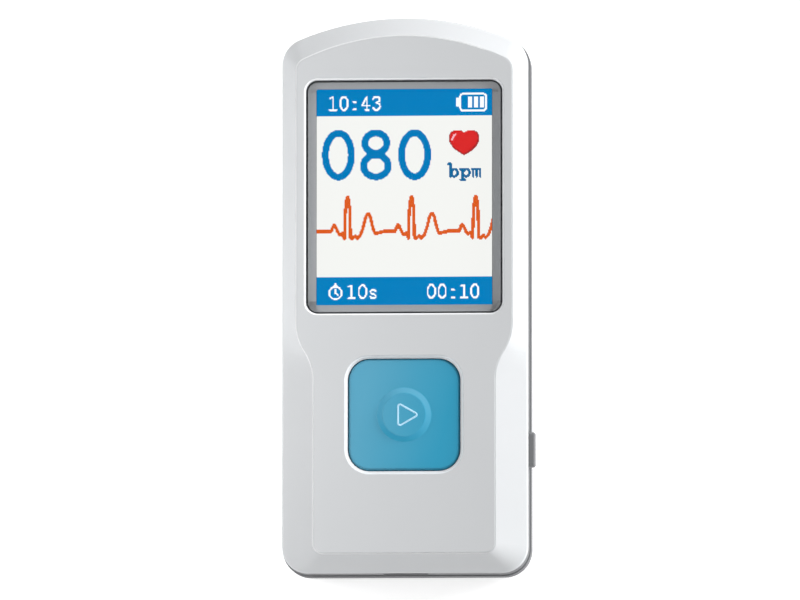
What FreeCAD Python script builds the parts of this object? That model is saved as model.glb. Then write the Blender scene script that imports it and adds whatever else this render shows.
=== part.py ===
import FreeCAD, Part
import os
import re
import Sketcher

# Hand-held single-lead ECG monitor, millimetres.
# The unit lies on its back: +Z leaves the display side, +Y is the arched top end and
# +X is the side with the power key. The origin is the centre of the rest plane, which
# is the plane of the electrode faces on the back.

SIZES = {
    # Stack through the thickness, from the back to the face
    "electrode_stand": 0.5,
    "wall": 1.6,
    "battery_tape_thickness": 0.2,
    "battery_thickness": 4.0,
    "battery_headroom": 1.1,
    "board_thickness": 1.0,
    "foam_thickness": 1.0,
    "backlight_thickness": 1.7,
    "glass_thickness": 1.3,
    "gasket_thickness": 0.4,
    "ledge_thickness": 0.8,
    "window_tape_thickness": 0.2,
    "window_thickness": 1.0,
    "window_recess": 0.2,
    # Layout of the face, along the unit and across it
    "view_width": 31.8,
    "view_height": 39.1,
    "window_side_border": 1.85,
    "window_end_border": 1.6,
    "window_corner_radius": 2.1,
    "window_gap": 0.1,
    "side_margin": 4.45,
    "top_margin": 11.45,
    "window_key_distance": 8.15,
    "bottom_margin": 18.2,
    # Housing form
    "arch_radius": 50.0,
    "upper_corner_radius": 5.0,
    "lower_corner_radius": 4.7,
    "bevel_depth": 3.2,
    "bevel_side_upper": 2.6,
    "bevel_side_lower": 5.7,
    "bevel_top": 3.4,
    "bevel_bottom": 3.3,
    "face_arch_radius": 42.0,
    "face_upper_corner": 2.4,
    "face_lower_corner": 1.9,
    "face_step": 0.2,
    "face_step_inset": 0.2,
    "waist_drop": 1.7,
    "waist_length": 10.3,
    "shoulder_bevel": 0.45,
    "shoulder_inset": 0.25,
    "back_bevel": 1.3,
    "rear_step": 0.25,
    "parting_below_board": 0.8,
    "lip_thickness": 0.7,
    "lip_height": 0.9,
    "lip_gap": 0.1,
    # Openings' edges
    "window_chamfer": 0.3,
    "key_chamfer": 0.6,
    # Main key
    "key_width": 20.0,
    "key_corner_radius": 3.8,
    "key_gap": 0.15,
    "key_recess": 0.45,
    "key_flange": 1.2,
    "key_flange_thickness": 0.85,
    "key_bevel": 0.35,
    "key_disc_radius": 3.85,
    "key_disc_slope": 1.1,
    "key_disc_height": 0.45,
    "key_post_radius": 2.4,
    # Switch below the main key
    "switch_width": 6.2,
    "switch_height": 2.9,
    "switch_plunger_radius": 1.7,
    "switch_plunger_stand": 0.7,
    "plunger_gap": 0.1,
    "plunger_depth": 0.8,
    "plunger_overtravel": 0.6,
    # Power key and the switch beside it
    "power_key_rise": 22.3,
    "power_key_height": 1.0,
    "power_key_length": 6.3,
    "power_key_thickness": 2.3,
    "power_key_stand": 1.2,
    "power_key_gap": 0.1,
    "power_key_wing": 1.0,
    "power_key_bevel": 0.25,
    "power_key_flange_thickness": 0.8,
    "power_switch_length": 6.0,
    "power_switch_depth": 3.4,
    "power_switch_height": 2.2,
    "power_switch_edge_gap": 0.4,
    "power_plunger_length": 2.4,
    "power_plunger_height": 1.0,
    # Display module
    "glass_side_margin": 2.6,
    "glass_top_margin": 2.4,
    "glass_bottom_margin": 4.7,
    "backlight_side_inset": 0.6,
    "backlight_ledge": 1.5,
    "gasket_width": 1.6,
    "foam_inset": 3.0,
    "flex_width": 12.0,
    "flex_thickness": 0.15,
    "flex_tail": 3.5,
    "flex_bend_radius": 0.8,
    "display_rib_thickness": 0.8,
    "display_rib_gap": 0.2,
    "display_rib_length": 5.0,
    # Main board
    "board_side_gap": 1.6,
    "board_end_gap": 0.6,
    "board_boss_gap": 0.2,
    "board_corner_chamfer": 1.2,
    # Screws and what they go into
    "screw_side_inset": 5.2,
    "screw_top_inset": 7.4,
    "screw_bottom_inset": 4.8,
    "boss_radius": 2.2,
    "column_radius": 2.8,
    "pilot_gap": 0.05,
    "passage_gap": 0.15,
    "screw_radius": 0.8,
    "screw_head_radius": 1.6,
    "screw_head_height": 1.1,
    "screw_head_gap": 0.25,
    "case_screw_length": 7.0,
    "counterbore_depth": 2.6,
    "board_screw_length": 4.0,
    "post_radius": 1.7,
    "post_upper_drop": 6.9,
    "post_lower_rise": 7.2,
    "post_pilot_depth": 0.3,
    # USB socket
    "socket_width": 7.5,
    "socket_height": 2.45,
    "socket_length": 5.2,
    "socket_recess": 0.8,
    "socket_gap": 0.3,
    "socket_shell": 0.3,
    "socket_taper": 0.9,
    "tongue_width": 4.6,
    "tongue_thickness": 0.6,
    "tongue_length": 3.4,
    # Battery, its tray and its lead
    "battery_width": 30.0,
    "battery_length": 40.0,
    "battery_offset": 3.6,
    "battery_round": 1.2,
    "battery_seal": 2.2,
    "tray_gap": 0.3,
    "tray_rib": 0.8,
    "tray_height": 1.6,
    "tray_corner": 8.0,
    "header_width": 6.0,
    "header_length": 4.4,
    "header_height": 3.4,
    "header_wall": 0.5,
    "header_distance": 3.2,
    "plug_gap": 0.1,
    "plug_length": 2.6,
    "lead_radius": 0.45,
    "lead_pitch": 1.6,
    # Electrodes and their contacts
    "electrode_thickness": 0.8,
    "electrode_gap": 0.1,
    "electrode_corner": 2.0,
    "electrode_bevel": 0.25,
    "upper_electrode_width": 28.0,
    "upper_electrode_height": 9.0,
    "upper_electrode_drop": 11.0,
    "lower_electrode_width": 14.0,
    "lower_electrode_height": 20.0,
    "lower_electrode_spacing": 21.0,
    "lower_electrode_rise": 20.0,
    "stud_radius": 1.0,
    "stud_length": 3.4,
    "nut_width": 4.0,
    "nut_height": 1.3,
    "spring_width": 2.4,
    "spring_thickness": 0.2,
    "spring_foot": 2.0,
    "spring_lean": 1.6,
    "spring_pad": 2.4,
    # Components on the board
    "processor_width": 10.0,
    "processor_height": 1.4,
    "amplifier_width": 5.0,
    "amplifier_height": 0.9,
    "memory_width": 5.0,
    "memory_length": 6.0,
    "memory_height": 1.5,
    "crystal_width": 3.2,
    "crystal_length": 2.5,
    "crystal_height": 0.8,
    "chip_side_distance": 10.0,
    "chip_chamfer": 0.2,
    "passive_length": 1.6,
    "passive_width": 0.8,
    "passive_height": 0.7,
    "passive_pitch": 2.7,
    "passive_row_pitch": 2.2,
}

PLACES = {
    # Levels through the thickness
    "back_level": "electrode_stand",
    "floor_level": "back_level + wall",
    "battery_level": "floor_level + battery_tape_thickness",
    "board_level": "battery_level + battery_thickness + battery_headroom",
    "board_top_level": "board_level + board_thickness",
    "backlight_level": "board_top_level + foam_thickness",
    "glass_level": "backlight_level + backlight_thickness",
    "gasket_level": "glass_level + glass_thickness",
    "ledge_level": "gasket_level + gasket_thickness",
    "seat_level": "ledge_level + ledge_thickness",
    "window_level": "seat_level + window_tape_thickness",
    "face_level": "window_level + window_thickness + window_recess",
    "bevel_top_level": "face_level - face_step",
    "shoulder_level": "face_level - bevel_depth",
    "ceiling_level": "face_level - wall",
    "inner_shoulder_level": "shoulder_level - wall / 2",
    "parting_level": "board_level - parting_below_board",
    # Plan of the housing
    "window_width": "view_width + 2 * window_side_border",
    "window_height": "view_height + 2 * window_end_border",
    "key_opening": "key_width + 2 * key_gap",
    "half_width": "window_width / 2 + side_margin",
    "half_length": "(top_margin + window_height + window_key_distance + key_opening"
                   " + bottom_margin) / 2",
    "window_y": "half_length - top_margin - window_height / 2",
    "window_bottom_y": "window_y - window_height / 2",
    "key_y": "bottom_margin + key_opening / 2 - half_length",
    "waist_top_y": "window_bottom_y - waist_drop",
    "waist_bottom_y": "waist_top_y - waist_length",
    # Screws
    "screw_x": "half_width - screw_side_inset",
    "screw_top_y": "half_length - screw_top_inset",
    "screw_bottom_y": "screw_bottom_inset - half_length",
    "post_top_y": "window_bottom_y - post_upper_drop",
    "post_bottom_y": "screw_bottom_y + post_lower_rise",
    "pilot_radius": "screw_radius + pilot_gap",
    "passage_radius": "screw_radius + passage_gap",
    "counterbore_radius": "screw_head_radius + screw_head_gap",
    "case_screw_seat": "back_level + counterbore_depth",
    # Board outline
    "board_half_width": "half_width - wall - board_side_gap",
    "board_top_y": "screw_top_y - boss_radius - board_boss_gap",
    "board_step_y": "screw_bottom_y + boss_radius + board_boss_gap",
    "board_tongue_half": "screw_x - boss_radius - board_boss_gap",
    "board_bottom_y": "wall + board_end_gap - half_length",
    # Main key and its switch
    "key_top_level": "face_level - key_recess",
    "flange_level": "ceiling_level - key_flange_thickness",
    "switch_top_level": "board_top_level + switch_height",
    "plunger_level": "switch_top_level + switch_plunger_stand",
    "plunger_base_level": "switch_top_level - plunger_depth",
    # Power key and its switch
    "power_y": "power_key_rise - half_length",
    "power_level": "board_top_level + power_key_height",
    "power_flange_x": "half_width - wall",
    "power_plunger_x": "power_flange_x - power_key_flange_thickness",
    "power_switch_x": "board_half_width - power_switch_edge_gap",
    # Display module
    "view_top_y": "window_y + view_height / 2",
    "view_bottom_y": "window_y - view_height / 2",
    "glass_half_width": "view_width / 2 + glass_side_margin",
    "glass_top_y": "view_top_y + glass_top_margin",
    "glass_bottom_y": "view_bottom_y - glass_bottom_margin",
    "backlight_bottom_y": "glass_bottom_y + backlight_ledge",
    "backlight_half_width": "glass_half_width - backlight_side_inset",
    # USB socket
    "mouth_y": "socket_recess - half_length",
    # Battery
    "battery_y": "window_y - battery_offset",
    "battery_bottom_y": "battery_y - battery_length / 2",
    "header_y": "battery_bottom_y - header_distance - header_length / 2",
    "lead_level": "board_level - header_height / 2",
    # Electrodes
    "upper_electrode_y": "half_length - upper_electrode_drop",
    "lower_electrode_x": "lower_electrode_spacing / 2",
    "lower_electrode_y": "lower_electrode_rise - half_length",
    "stud_level": "electrode_thickness + stud_length",
}

document = FreeCAD.newDocument("ecg_monitor")
sheet = document.addObject("Spreadsheet::Sheet", "sizes")
for row, (alias, number) in enumerate(SIZES.items(), start=1):
    sheet.set(f"A{row}", alias)
    sheet.set(f"B{row}", str(number))
    sheet.setAlias(f"B{row}", alias)
document.recompute()

PARTS = []


# --- Formulas -------------------------------------------------------------------------

def formula(text):
    """Write out a formula of size names as an expression on the sheet's cells."""
    def cell(match):
        name = match.group()
        if name in PLACES:
            return "(" + formula(PLACES[name]) + ")"
        return "sizes." + name if name in SIZES else name
    return re.sub(r"\b[a-z_]+\b", cell, text)


def value(text):
    """The number that a formula gives now."""
    return float(sheet.evalExpression(formula(text)))


def bind(item, **properties):
    """Tie properties of a document object to formulas."""
    for name, text in properties.items():
        item.setExpression(name, formula(text))
    return item


def move(item, x="0", y="0", z="0"):
    """Tie an object's place to formulas."""
    for axis, text in (("x", x), ("y", y), ("z", z)):
        item.setExpression(f".Placement.Base.{axis}", formula(text))
    return item


# --- Sketches -------------------------------------------------------------------------

def new_body(name):
    return document.addObject("PartDesign::Body", name)


def new_sketch(body, name, plane="XY_Plane", at="0"):
    """A sketch parallel to one of the body's origin planes, at a place along the axis."""
    sketch = body.newObject("Sketcher::SketchObject", name)
    base = next(item for item in body.Origin.OriginFeatures if item.Role == plane)
    sketch.AttachmentSupport = [(base, "")]
    sketch.MapMode = "FlatFace"
    along = f"-({at})" if plane == "XZ_Plane" else at
    sketch.setExpression(".AttachmentOffset.Base.z", formula(along))
    return sketch


def constrain(sketch, constraints):
    """Add constraints to a sketch: (kind, geometry and points) or the same and a formula."""
    first = sketch.ConstraintCount
    made = []
    for kind, where, text in constraints:
        number = () if text is None else (value(text),)
        made.append(Sketcher.Constraint(kind, *where, *number))
    sketch.addConstraint(made)
    for index, (kind, where, text) in enumerate(constraints, start=first):
        if text is not None:
            sketch.setExpression(f"Constraints[{index}]", formula(text))


def point(x, y):
    return FreeCAD.Vector(x, y, 0)


def draw_polygon(sketch, corners):
    """A closed outline of straight lines through corners given as formulas."""
    first = sketch.GeometryCount
    places = [point(value(x), value(y)) for x, y in corners]
    count = len(corners)
    for index in range(count):
        sketch.addGeometry(Part.LineSegment(places[index], places[(index + 1) % count]), False)
    rules = []
    for index, (x, y) in enumerate(corners):
        line = first + index
        after = first + (index + 1) % count
        rules.append(("Coincident", (line, 2, after, 1), None))
        rules.append(("DistanceX", (-1, 1, line, 1), x))
        rules.append(("DistanceY", (-1, 1, line, 1), y))
    constrain(sketch, rules)
    return sketch


def draw_rectangle(sketch, low_x, low_y, high_x, high_y):
    return draw_polygon(sketch, [(low_x, low_y), (high_x, low_y), (high_x, high_y), (low_x, high_y)])


def draw_circle(sketch, x, y, radius):
    circle = sketch.GeometryCount
    sketch.addGeometry(Part.Circle(point(value(x), value(y)), FreeCAD.Vector(0, 0, 1), value(radius)), False)
    constrain(sketch, [
        ("DistanceX", (-1, 1, circle, 3), x),
        ("DistanceY", (-1, 1, circle, 3), y),
        ("Radius", (circle,), radius),
    ])
    return sketch


def arc_through(start, middle, end):
    return Part.Arc(start, middle, end)


def corner_arc(center, radius, from_degrees, to_degrees):
    """An anticlockwise arc about a centre."""
    circle = Part.Circle(center, FreeCAD.Vector(0, 0, 1), radius)
    from_angle = FreeCAD.Units.Quantity(from_degrees, FreeCAD.Units.Angle).getValueAs("rad").Value
    to_angle = FreeCAD.Units.Quantity(to_degrees, FreeCAD.Units.Angle).getValueAs("rad").Value
    return Part.ArcOfCircle(circle, from_angle, to_angle)


def draw_rounded(sketch, center_x, center_y, width, height, radius):
    """A rectangle with round corners about a centre."""
    first = sketch.GeometryCount
    middle = point(value(center_x), value(center_y))
    half_x = value(width) / 2
    half_y = value(height) / 2
    round_ = value(radius)
    in_x = half_x - round_
    in_y = half_y - round_
    bottom, right, top, left = first, first + 1, first + 2, first + 3
    sketch.addGeometry([
        Part.LineSegment(middle + point(-in_x, -half_y), middle + point(in_x, -half_y)),
        Part.LineSegment(middle + point(half_x, -in_y), middle + point(half_x, in_y)),
        Part.LineSegment(middle + point(in_x, half_y), middle + point(-in_x, half_y)),
        Part.LineSegment(middle + point(-half_x, in_y), middle + point(-half_x, -in_y)),
        corner_arc(middle + point(in_x, -in_y), round_, -90, 0),
        corner_arc(middle + point(in_x, in_y), round_, 0, 90),
        corner_arc(middle + point(-in_x, in_y), round_, 90, 180),
        corner_arc(middle + point(-in_x, -in_y), round_, 180, 270),
    ], False)
    rules = []
    for index in range(4):
        arc = first + 4 + index
        rules.append(("Tangent", (first + index, 2, arc, 1), None))
        rules.append(("Tangent", (arc, 2, first + (index + 1) % 4, 1), None))
        if index:
            rules.append(("Equal", (first + 4, arc), None))
    rules += [
        ("Horizontal", (bottom,), None),
        ("Vertical", (right,), None),
        ("Horizontal", (top,), None),
        ("Vertical", (left,), None),
        ("Radius", (first + 4,), radius),
        ("DistanceX", (-1, 1, left, 1), f"({center_x}) - ({width}) / 2"),
        ("DistanceX", (-1, 1, right, 1), f"({center_x}) + ({width}) / 2"),
        ("DistanceY", (-1, 1, bottom, 1), f"({center_y}) - ({height}) / 2"),
        ("DistanceY", (-1, 1, top, 1), f"({center_y}) + ({height}) / 2"),
    ]
    constrain(sketch, rules)
    return sketch


def draw_housing_outline(sketch, upper_half, lower_half, top, bottom, arch, upper_corner, lower_corner):
    """The unit's outline, clockwise from the top arch.

    The arch meets two straight sides in round corners. Each side runs straight, then over
    the length of the waist through two equal arcs (or a straight in two pieces where the
    half-widths are the same), then straight again to the lower corner.
    """
    first = sketch.GeometryCount
    hu, hl = value(upper_half), value(lower_half)
    y_top, y_bottom = value(top), value(bottom)
    big, small, low = value(arch), value(upper_corner), value(lower_corner)
    y_from, y_to = value("waist_top_y"), value("waist_bottom_y")
    y_arch = y_top - big
    y_corner = y_arch + ((big - small) ** 2 - (hu - small) ** 2) ** 0.5
    reach = big / (big - small)
    x_end = (hu - small) * reach
    y_end = y_arch + (y_corner - y_arch) * reach
    narrows = abs(hu - hl) > 1e-6
    y_middle = (y_from + y_to) / 2
    x_middle = (hu + hl) / 2
    bow = 0.0
    if narrows:
        bend = ((hu - hl) ** 2 + (y_from - y_to) ** 2) / (4 * (hu - hl))
        bow = bend - (bend ** 2 - ((y_from - y_to) / 4) ** 2) ** 0.5

    def side(sign):
        """Geometry of one side, from the arch to the bottom line; sign is +1 on the right."""
        corner_middle = point((hu - small) + small * 0.5 ** 0.5, y_corner + small * 0.5 ** 0.5)
        lower_middle = point(hl - low + low * 0.5 ** 0.5, y_bottom + low - low * 0.5 ** 0.5)
        spots = [
            point(x_end, y_end), corner_middle, point(hu, y_corner), point(hu, y_from),
            point(hu - bow, (y_from + y_middle) / 2), point(x_middle, y_middle),
            point(hl + bow, (y_to + y_middle) / 2), point(hl, y_to),
            point(hl, y_bottom + low), lower_middle, point(hl - low, y_bottom),
        ]
        spots = [point(sign * spot.x, spot.y) for spot in spots]
        if narrows:
            waist = [arc_through(spots[3], spots[4], spots[5]), arc_through(spots[5], spots[6], spots[7])]
        else:
            waist = [Part.LineSegment(spots[3], spots[5]), Part.LineSegment(spots[5], spots[7])]
        return [
            arc_through(spots[0], spots[1], spots[2]),
            Part.LineSegment(spots[2], spots[3]),
            *waist,
            Part.LineSegment(spots[7], spots[8]),
            arc_through(spots[8], spots[9], spots[10]),
        ]

    crown = arc_through(point(-x_end, y_end), point(0, y_top), point(x_end, y_end))
    base = Part.LineSegment(point(hl - low, y_bottom), point(low - hl, y_bottom))
    sketch.addGeometry([crown, *side(1), base, *side(-1)], False)

    def end_at(geometry, x, y):
        """The number, 1 or 2, of the end of a geometry that lies at a place."""
        start = sketch.getPoint(geometry, 1)
        return 1 if (start - point(x, y)).Length < 1e-4 else 2

    def join(kind, one, other, x, y):
        return (kind, (one, end_at(one, x, y), other, end_at(other, x, y)), None)

    crown_id, base_id = first, first + 7
    rules = [
        ("PointOnObject", (crown_id, 3, -2), None),
        ("DistanceY", (-1, 1, crown_id, 3), f"({top}) - ({arch})"),
        ("Radius", (crown_id,), arch),
        ("Horizontal", (base_id,), None),
        ("DistanceY", (-1, 1, base_id, 1), bottom),
    ]
    for sign, start in ((1, first + 1), (-1, first + 8)):
        corner, upper, bend_in, bend_out, lower, foot = range(start, start + 6)
        mark = "" if sign > 0 else "-"
        waist_join = "Tangent" if narrows else "Coincident"
        rules += [
            join("Tangent", crown_id, corner, sign * x_end, y_end),
            join("Tangent", corner, upper, sign * hu, y_corner),
            join(waist_join, upper, bend_in, sign * hu, y_from),
            join(waist_join, bend_in, bend_out, sign * x_middle, y_middle),
            join(waist_join, bend_out, lower, sign * hl, y_to),
            join("Tangent", lower, foot, sign * hl, y_bottom + low),
            join("Tangent", foot, base_id, sign * (hl - low), y_bottom),
            ("Radius", (corner,), upper_corner),
            ("Radius", (foot,), lower_corner),
            ("Vertical", (upper,), None),
            ("Vertical", (lower,), None),
            ("DistanceX", (-1, 1, upper, end_at(upper, sign * hu, y_from)), f"{mark}({upper_half})"),
            ("DistanceY", (-1, 1, upper, end_at(upper, sign * hu, y_from)), "waist_top_y"),
            ("DistanceX", (-1, 1, lower, end_at(lower, sign * hl, y_to)), f"{mark}({lower_half})"),
            ("DistanceY", (-1, 1, lower, end_at(lower, sign * hl, y_to)), "waist_bottom_y"),
        ]
        if narrows:
            rules.append(("Equal", (bend_in, bend_out), None))
        else:
            middle_end = end_at(bend_in, sign * x_middle, y_middle)
            rules += [
                ("DistanceX", (-1, 1, bend_in, middle_end), f"{mark}({upper_half})"),
                ("DistanceY", (-1, 1, bend_in, middle_end), "(waist_top_y + waist_bottom_y) / 2"),
            ]
    constrain(sketch, rules)
    return sketch


def body_outline(sketch, inset="0"):
    """The housing's plan outline, moved inwards by an inset."""
    return draw_housing_outline(
        sketch, f"half_width - ({inset})", f"half_width - ({inset})", f"half_length - ({inset})",
        f"({inset}) - half_length", f"arch_radius - ({inset})",
        f"upper_corner_radius - ({inset})", f"lower_corner_radius - ({inset})")


def face_outline(sketch, inset="0", upper_corner="face_upper_corner", lower_corner="face_lower_corner"):
    """The raised face's outline with its waist, moved inwards by an inset."""
    return draw_housing_outline(
        sketch, f"half_width - bevel_side_upper - ({inset})", f"half_width - bevel_side_lower - ({inset})",
        f"half_length - bevel_top - ({inset})", f"bevel_bottom + ({inset}) - half_length",
        f"face_arch_radius - ({inset})", upper_corner, lower_corner)


# --- Features -------------------------------------------------------------------------

def pad(body, sketch, length, name, both_ways=False):
    """Material from the sketch up to a length along its normal."""
    feature = body.newObject("PartDesign::Pad", name)
    feature.Profile = sketch
    feature.Midplane = both_ways
    return bind(feature, Length=length)


def pocket(body, sketch, length, name, both_ways=False):
    """A cut from the sketch along its normal."""
    feature = body.newObject("PartDesign::Pocket", name)
    feature.Profile = sketch
    feature.Reversed = True
    feature.Midplane = both_ways
    return bind(feature, Length=length)


def loft(body, lower, upper, name, kind="PartDesign::AdditiveLoft"):
    """A ruled loft from one outline to another."""
    feature = body.newObject(kind, name)
    feature.Profile = lower
    feature.Sections = [upper]
    feature.Ruled = True
    return feature


def revolve(body, sketch, name):
    """A full turn of a half profile about the sketch's vertical axis."""
    feature = body.newObject("PartDesign::Revolution", name)
    feature.Profile = sketch
    feature.ReferenceAxis = (sketch, ["V_Axis"])
    feature.Angle = 360
    return feature


def edges_where(shape, test):
    """Names of the edges whose every sampled point passes a test."""
    names = []
    for index, edge in enumerate(shape.Edges, start=1):
        first, last = edge.ParameterRange
        samples = [edge.valueAt(first + (last - first) * part / 4) for part in range(5)]
        if all(test(sample) for sample in samples):
            names.append(f"Edge{index}")
    return names


def chamfer(body, base, name, size, test):
    """A chamfer on the edges of a feature that pass a test."""
    document.recompute()
    names = edges_where(base.Shape, test)
    if not names:
        raise RuntimeError(f"{name} finds no edge")
    feature = body.newObject("PartDesign::Chamfer", name)
    feature.Base = (base, names)
    return bind(feature, Size=size)


def at_level(level):
    """A test for points at one height."""
    height = value(level)
    return lambda spot: abs(spot.z - height) < 1e-4


def at_level_near(level, x, y, half_x, half_y):
    """A test for points at one height and inside a rectangle about a centre."""
    height = value(level)
    near = (value(x), value(y), value(half_x), value(half_y))
    return lambda spot: (abs(spot.z - height) < 1e-4
                         and abs(spot.x - near[0]) < near[2] and abs(spot.y - near[1]) < near[3])


def grid(body, feature, name, span_x, span_y):
    """Copies of a feature at the four corners of a rectangle."""
    pattern = body.newObject("PartDesign::LinearPattern", name)
    pattern.Originals = [feature]
    axes = {item.Role: item for item in body.Origin.OriginFeatures}
    pattern.Direction = (axes["X_Axis"], [""])
    pattern.Direction2 = (axes["Y_Axis"], [""])
    pattern.Occurrences = 2
    pattern.Occurrences2 = 2
    body.Tip = pattern
    return bind(pattern, Length=span_x, Length2=span_y)


def finish(item, name):
    """Name a sub-part and put it on the list of pieces."""
    item.Label = name
    PARTS.append(item)
    return item


def box(name, low_x, low_y, low_z, length, width, height):
    """A Part::Box tied to formulas."""
    item = bind(document.addObject("Part::Box", name), Length=length, Width=width, Height=height)
    return move(item, low_x, low_y, low_z)


def cut(name, base, tool):
    """A Part::Cut of one object from another."""
    item = document.addObject("Part::Cut", name)
    item.Base = base
    item.Tool = tool
    item.Refine = True
    return item


# --- Housing --------------------------------------------------------------------------

def front_cover():
    """The display-side moulding: outer form, less a core that leaves its bosses and ribs."""
    outer = new_body("front_outer")
    skirt = body_outline(new_sketch(outer, "skirt_outline", at="parting_level"))
    pad(outer, skirt, "shoulder_level - shoulder_bevel - parting_level", "skirt")
    crease = body_outline(new_sketch(outer, "crease_outline", at="shoulder_level - shoulder_bevel"))
    shoulder = body_outline(new_sketch(outer, "shoulder_outline", at="shoulder_level"), "shoulder_inset")
    loft(outer, crease, shoulder, "shoulder")
    foot = body_outline(new_sketch(outer, "bevel_foot_outline", at="shoulder_level"), "shoulder_inset")
    rim = face_outline(new_sketch(outer, "bevel_outline", at="bevel_top_level"))
    loft(outer, foot, rim, "bevel")
    face = face_outline(new_sketch(outer, "face_outline", at="bevel_top_level"), "face_step_inset",
                        "face_upper_corner - face_step_inset", "face_lower_corner - face_step_inset")
    pad(outer, face, "face_step", "face")
    seat = draw_rounded(new_sketch(outer, "seat_outline", at="seat_level"), "0", "window_y",
                        "window_width", "window_height", "window_corner_radius + window_gap")
    pocket(outer, seat, "face_level - seat_level", "window_seat")
    view = draw_rounded(new_sketch(outer, "view_outline", at="gasket_level"), "0", "window_y",
                        "view_width + 2 * window_gap", "view_height + 2 * window_gap", "window_gap + 0.4")
    pocket(outer, view, "seat_level - gasket_level", "view_opening")
    key = draw_rounded(new_sketch(outer, "key_outline", at="flange_level"), "0", "key_y",
                       "key_opening", "key_opening", "key_corner_radius + key_gap")
    holed = pocket(outer, key, "face_level - flange_level", "key_opening")
    chamfered = chamfer(outer, holed, "key_edge", "key_chamfer",
                        at_level_near("face_level", "0", "key_y", "key_width / 2 + 2 * key_gap",
                                      "key_width / 2 + 2 * key_gap"))
    chamfer(outer, chamfered, "window_edge", "window_chamfer",
            at_level_near("face_level", "0", "window_y", "window_width / 2 + window_gap",
                          "window_height / 2 + window_gap"))
    side = new_sketch(outer, "power_opening_outline", "YZ_Plane", "half_width - 2 * wall")
    draw_rounded(side, "power_y", "power_level", "power_key_length + 2 * power_key_gap",
                 "power_key_thickness + 2 * power_key_gap", "power_key_thickness / 4 + power_key_gap")
    pocket(outer, side, "3 * wall", "power_opening")
    mouth = new_sketch(outer, "socket_opening_outline", "XZ_Plane", "2 * wall - half_length")
    draw_rounded(mouth, "0", "board_top_level + socket_height / 2", "socket_width + 2 * socket_gap",
                 "socket_height + 2 * socket_gap", "2 * socket_gap")
    pocket(outer, mouth, "3 * wall", "socket_opening")
    case_pilot_end = "case_screw_seat + case_screw_length + post_pilot_depth"
    board_pilot_end = "board_level + board_screw_length + post_pilot_depth"
    for name, start, end, top_y, bottom_y in (
            ("case", "parting_level", case_pilot_end, "screw_top_y", "screw_bottom_y"),
            ("board", "board_top_level", board_pilot_end, "post_top_y", "post_bottom_y")):
        pilots = new_sketch(outer, f"{name}_pilot_circles", at=start)
        for x in ("screw_x", "-screw_x"):
            for y in (top_y, bottom_y):
                draw_circle(pilots, x, y, "pilot_radius")
        pocket(outer, pilots, f"{end} - {start}", f"{name}_pilots")

    core = new_body("front_core")
    inside = body_outline(new_sketch(core, "cavity_outline", at="parting_level - wall"), "wall")
    pad(core, inside, "inner_shoulder_level - parting_level + wall", "cavity")
    spring_line = body_outline(new_sketch(core, "roof_outline", at="inner_shoulder_level"), "wall")
    roof = face_outline(new_sketch(core, "ceiling_outline", at="ceiling_level"), "wall",
                        "face_upper_corner / 2", "face_lower_corner / 2")
    loft(core, spring_line, roof, "roof")
    rebate = body_outline(new_sketch(core, "rebate_outline", at="parting_level - wall"),
                          "wall - lip_thickness - lip_gap")
    pad(core, rebate, "wall + lip_height + lip_gap", "rebate")
    bosses = new_sketch(core, "boss_circles", at="parting_level")
    posts = new_sketch(core, "post_circles", at="board_top_level")
    for x in ("screw_x", "-screw_x"):
        for y in ("screw_top_y", "screw_bottom_y"):
            draw_circle(bosses, x, y, "boss_radius")
        for y in ("post_top_y", "post_bottom_y"):
            draw_circle(posts, x, y, "post_radius")
    pocket(core, bosses, "face_level - parting_level", "bosses")
    pocket(core, posts, "face_level - board_top_level", "posts")
    frame = draw_rectangle(new_sketch(core, "window_rim_outline", at="ledge_level"),
                           "-glass_half_width", "glass_bottom_y", "glass_half_width", "glass_top_y")
    pocket(core, frame, "face_level - ledge_level", "window_rim")
    ribs = new_sketch(core, "rib_outlines", at="glass_level")
    inner_x = "glass_half_width - display_rib_length"
    top_rib_y = "glass_top_y + display_rib_gap"
    low_rib_y = "glass_bottom_y - display_rib_gap - display_rib_thickness"
    for low, high in ((inner_x, "glass_half_width"), ("-glass_half_width", f"-({inner_x})")):
        for y in (top_rib_y, low_rib_y):
            draw_rectangle(ribs, low, y, high, f"{y} + display_rib_thickness")
    pocket(core, ribs, "face_level - glass_level", "display_ribs")
    return finish(cut("front_cover", outer, core), "front_cover")


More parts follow.
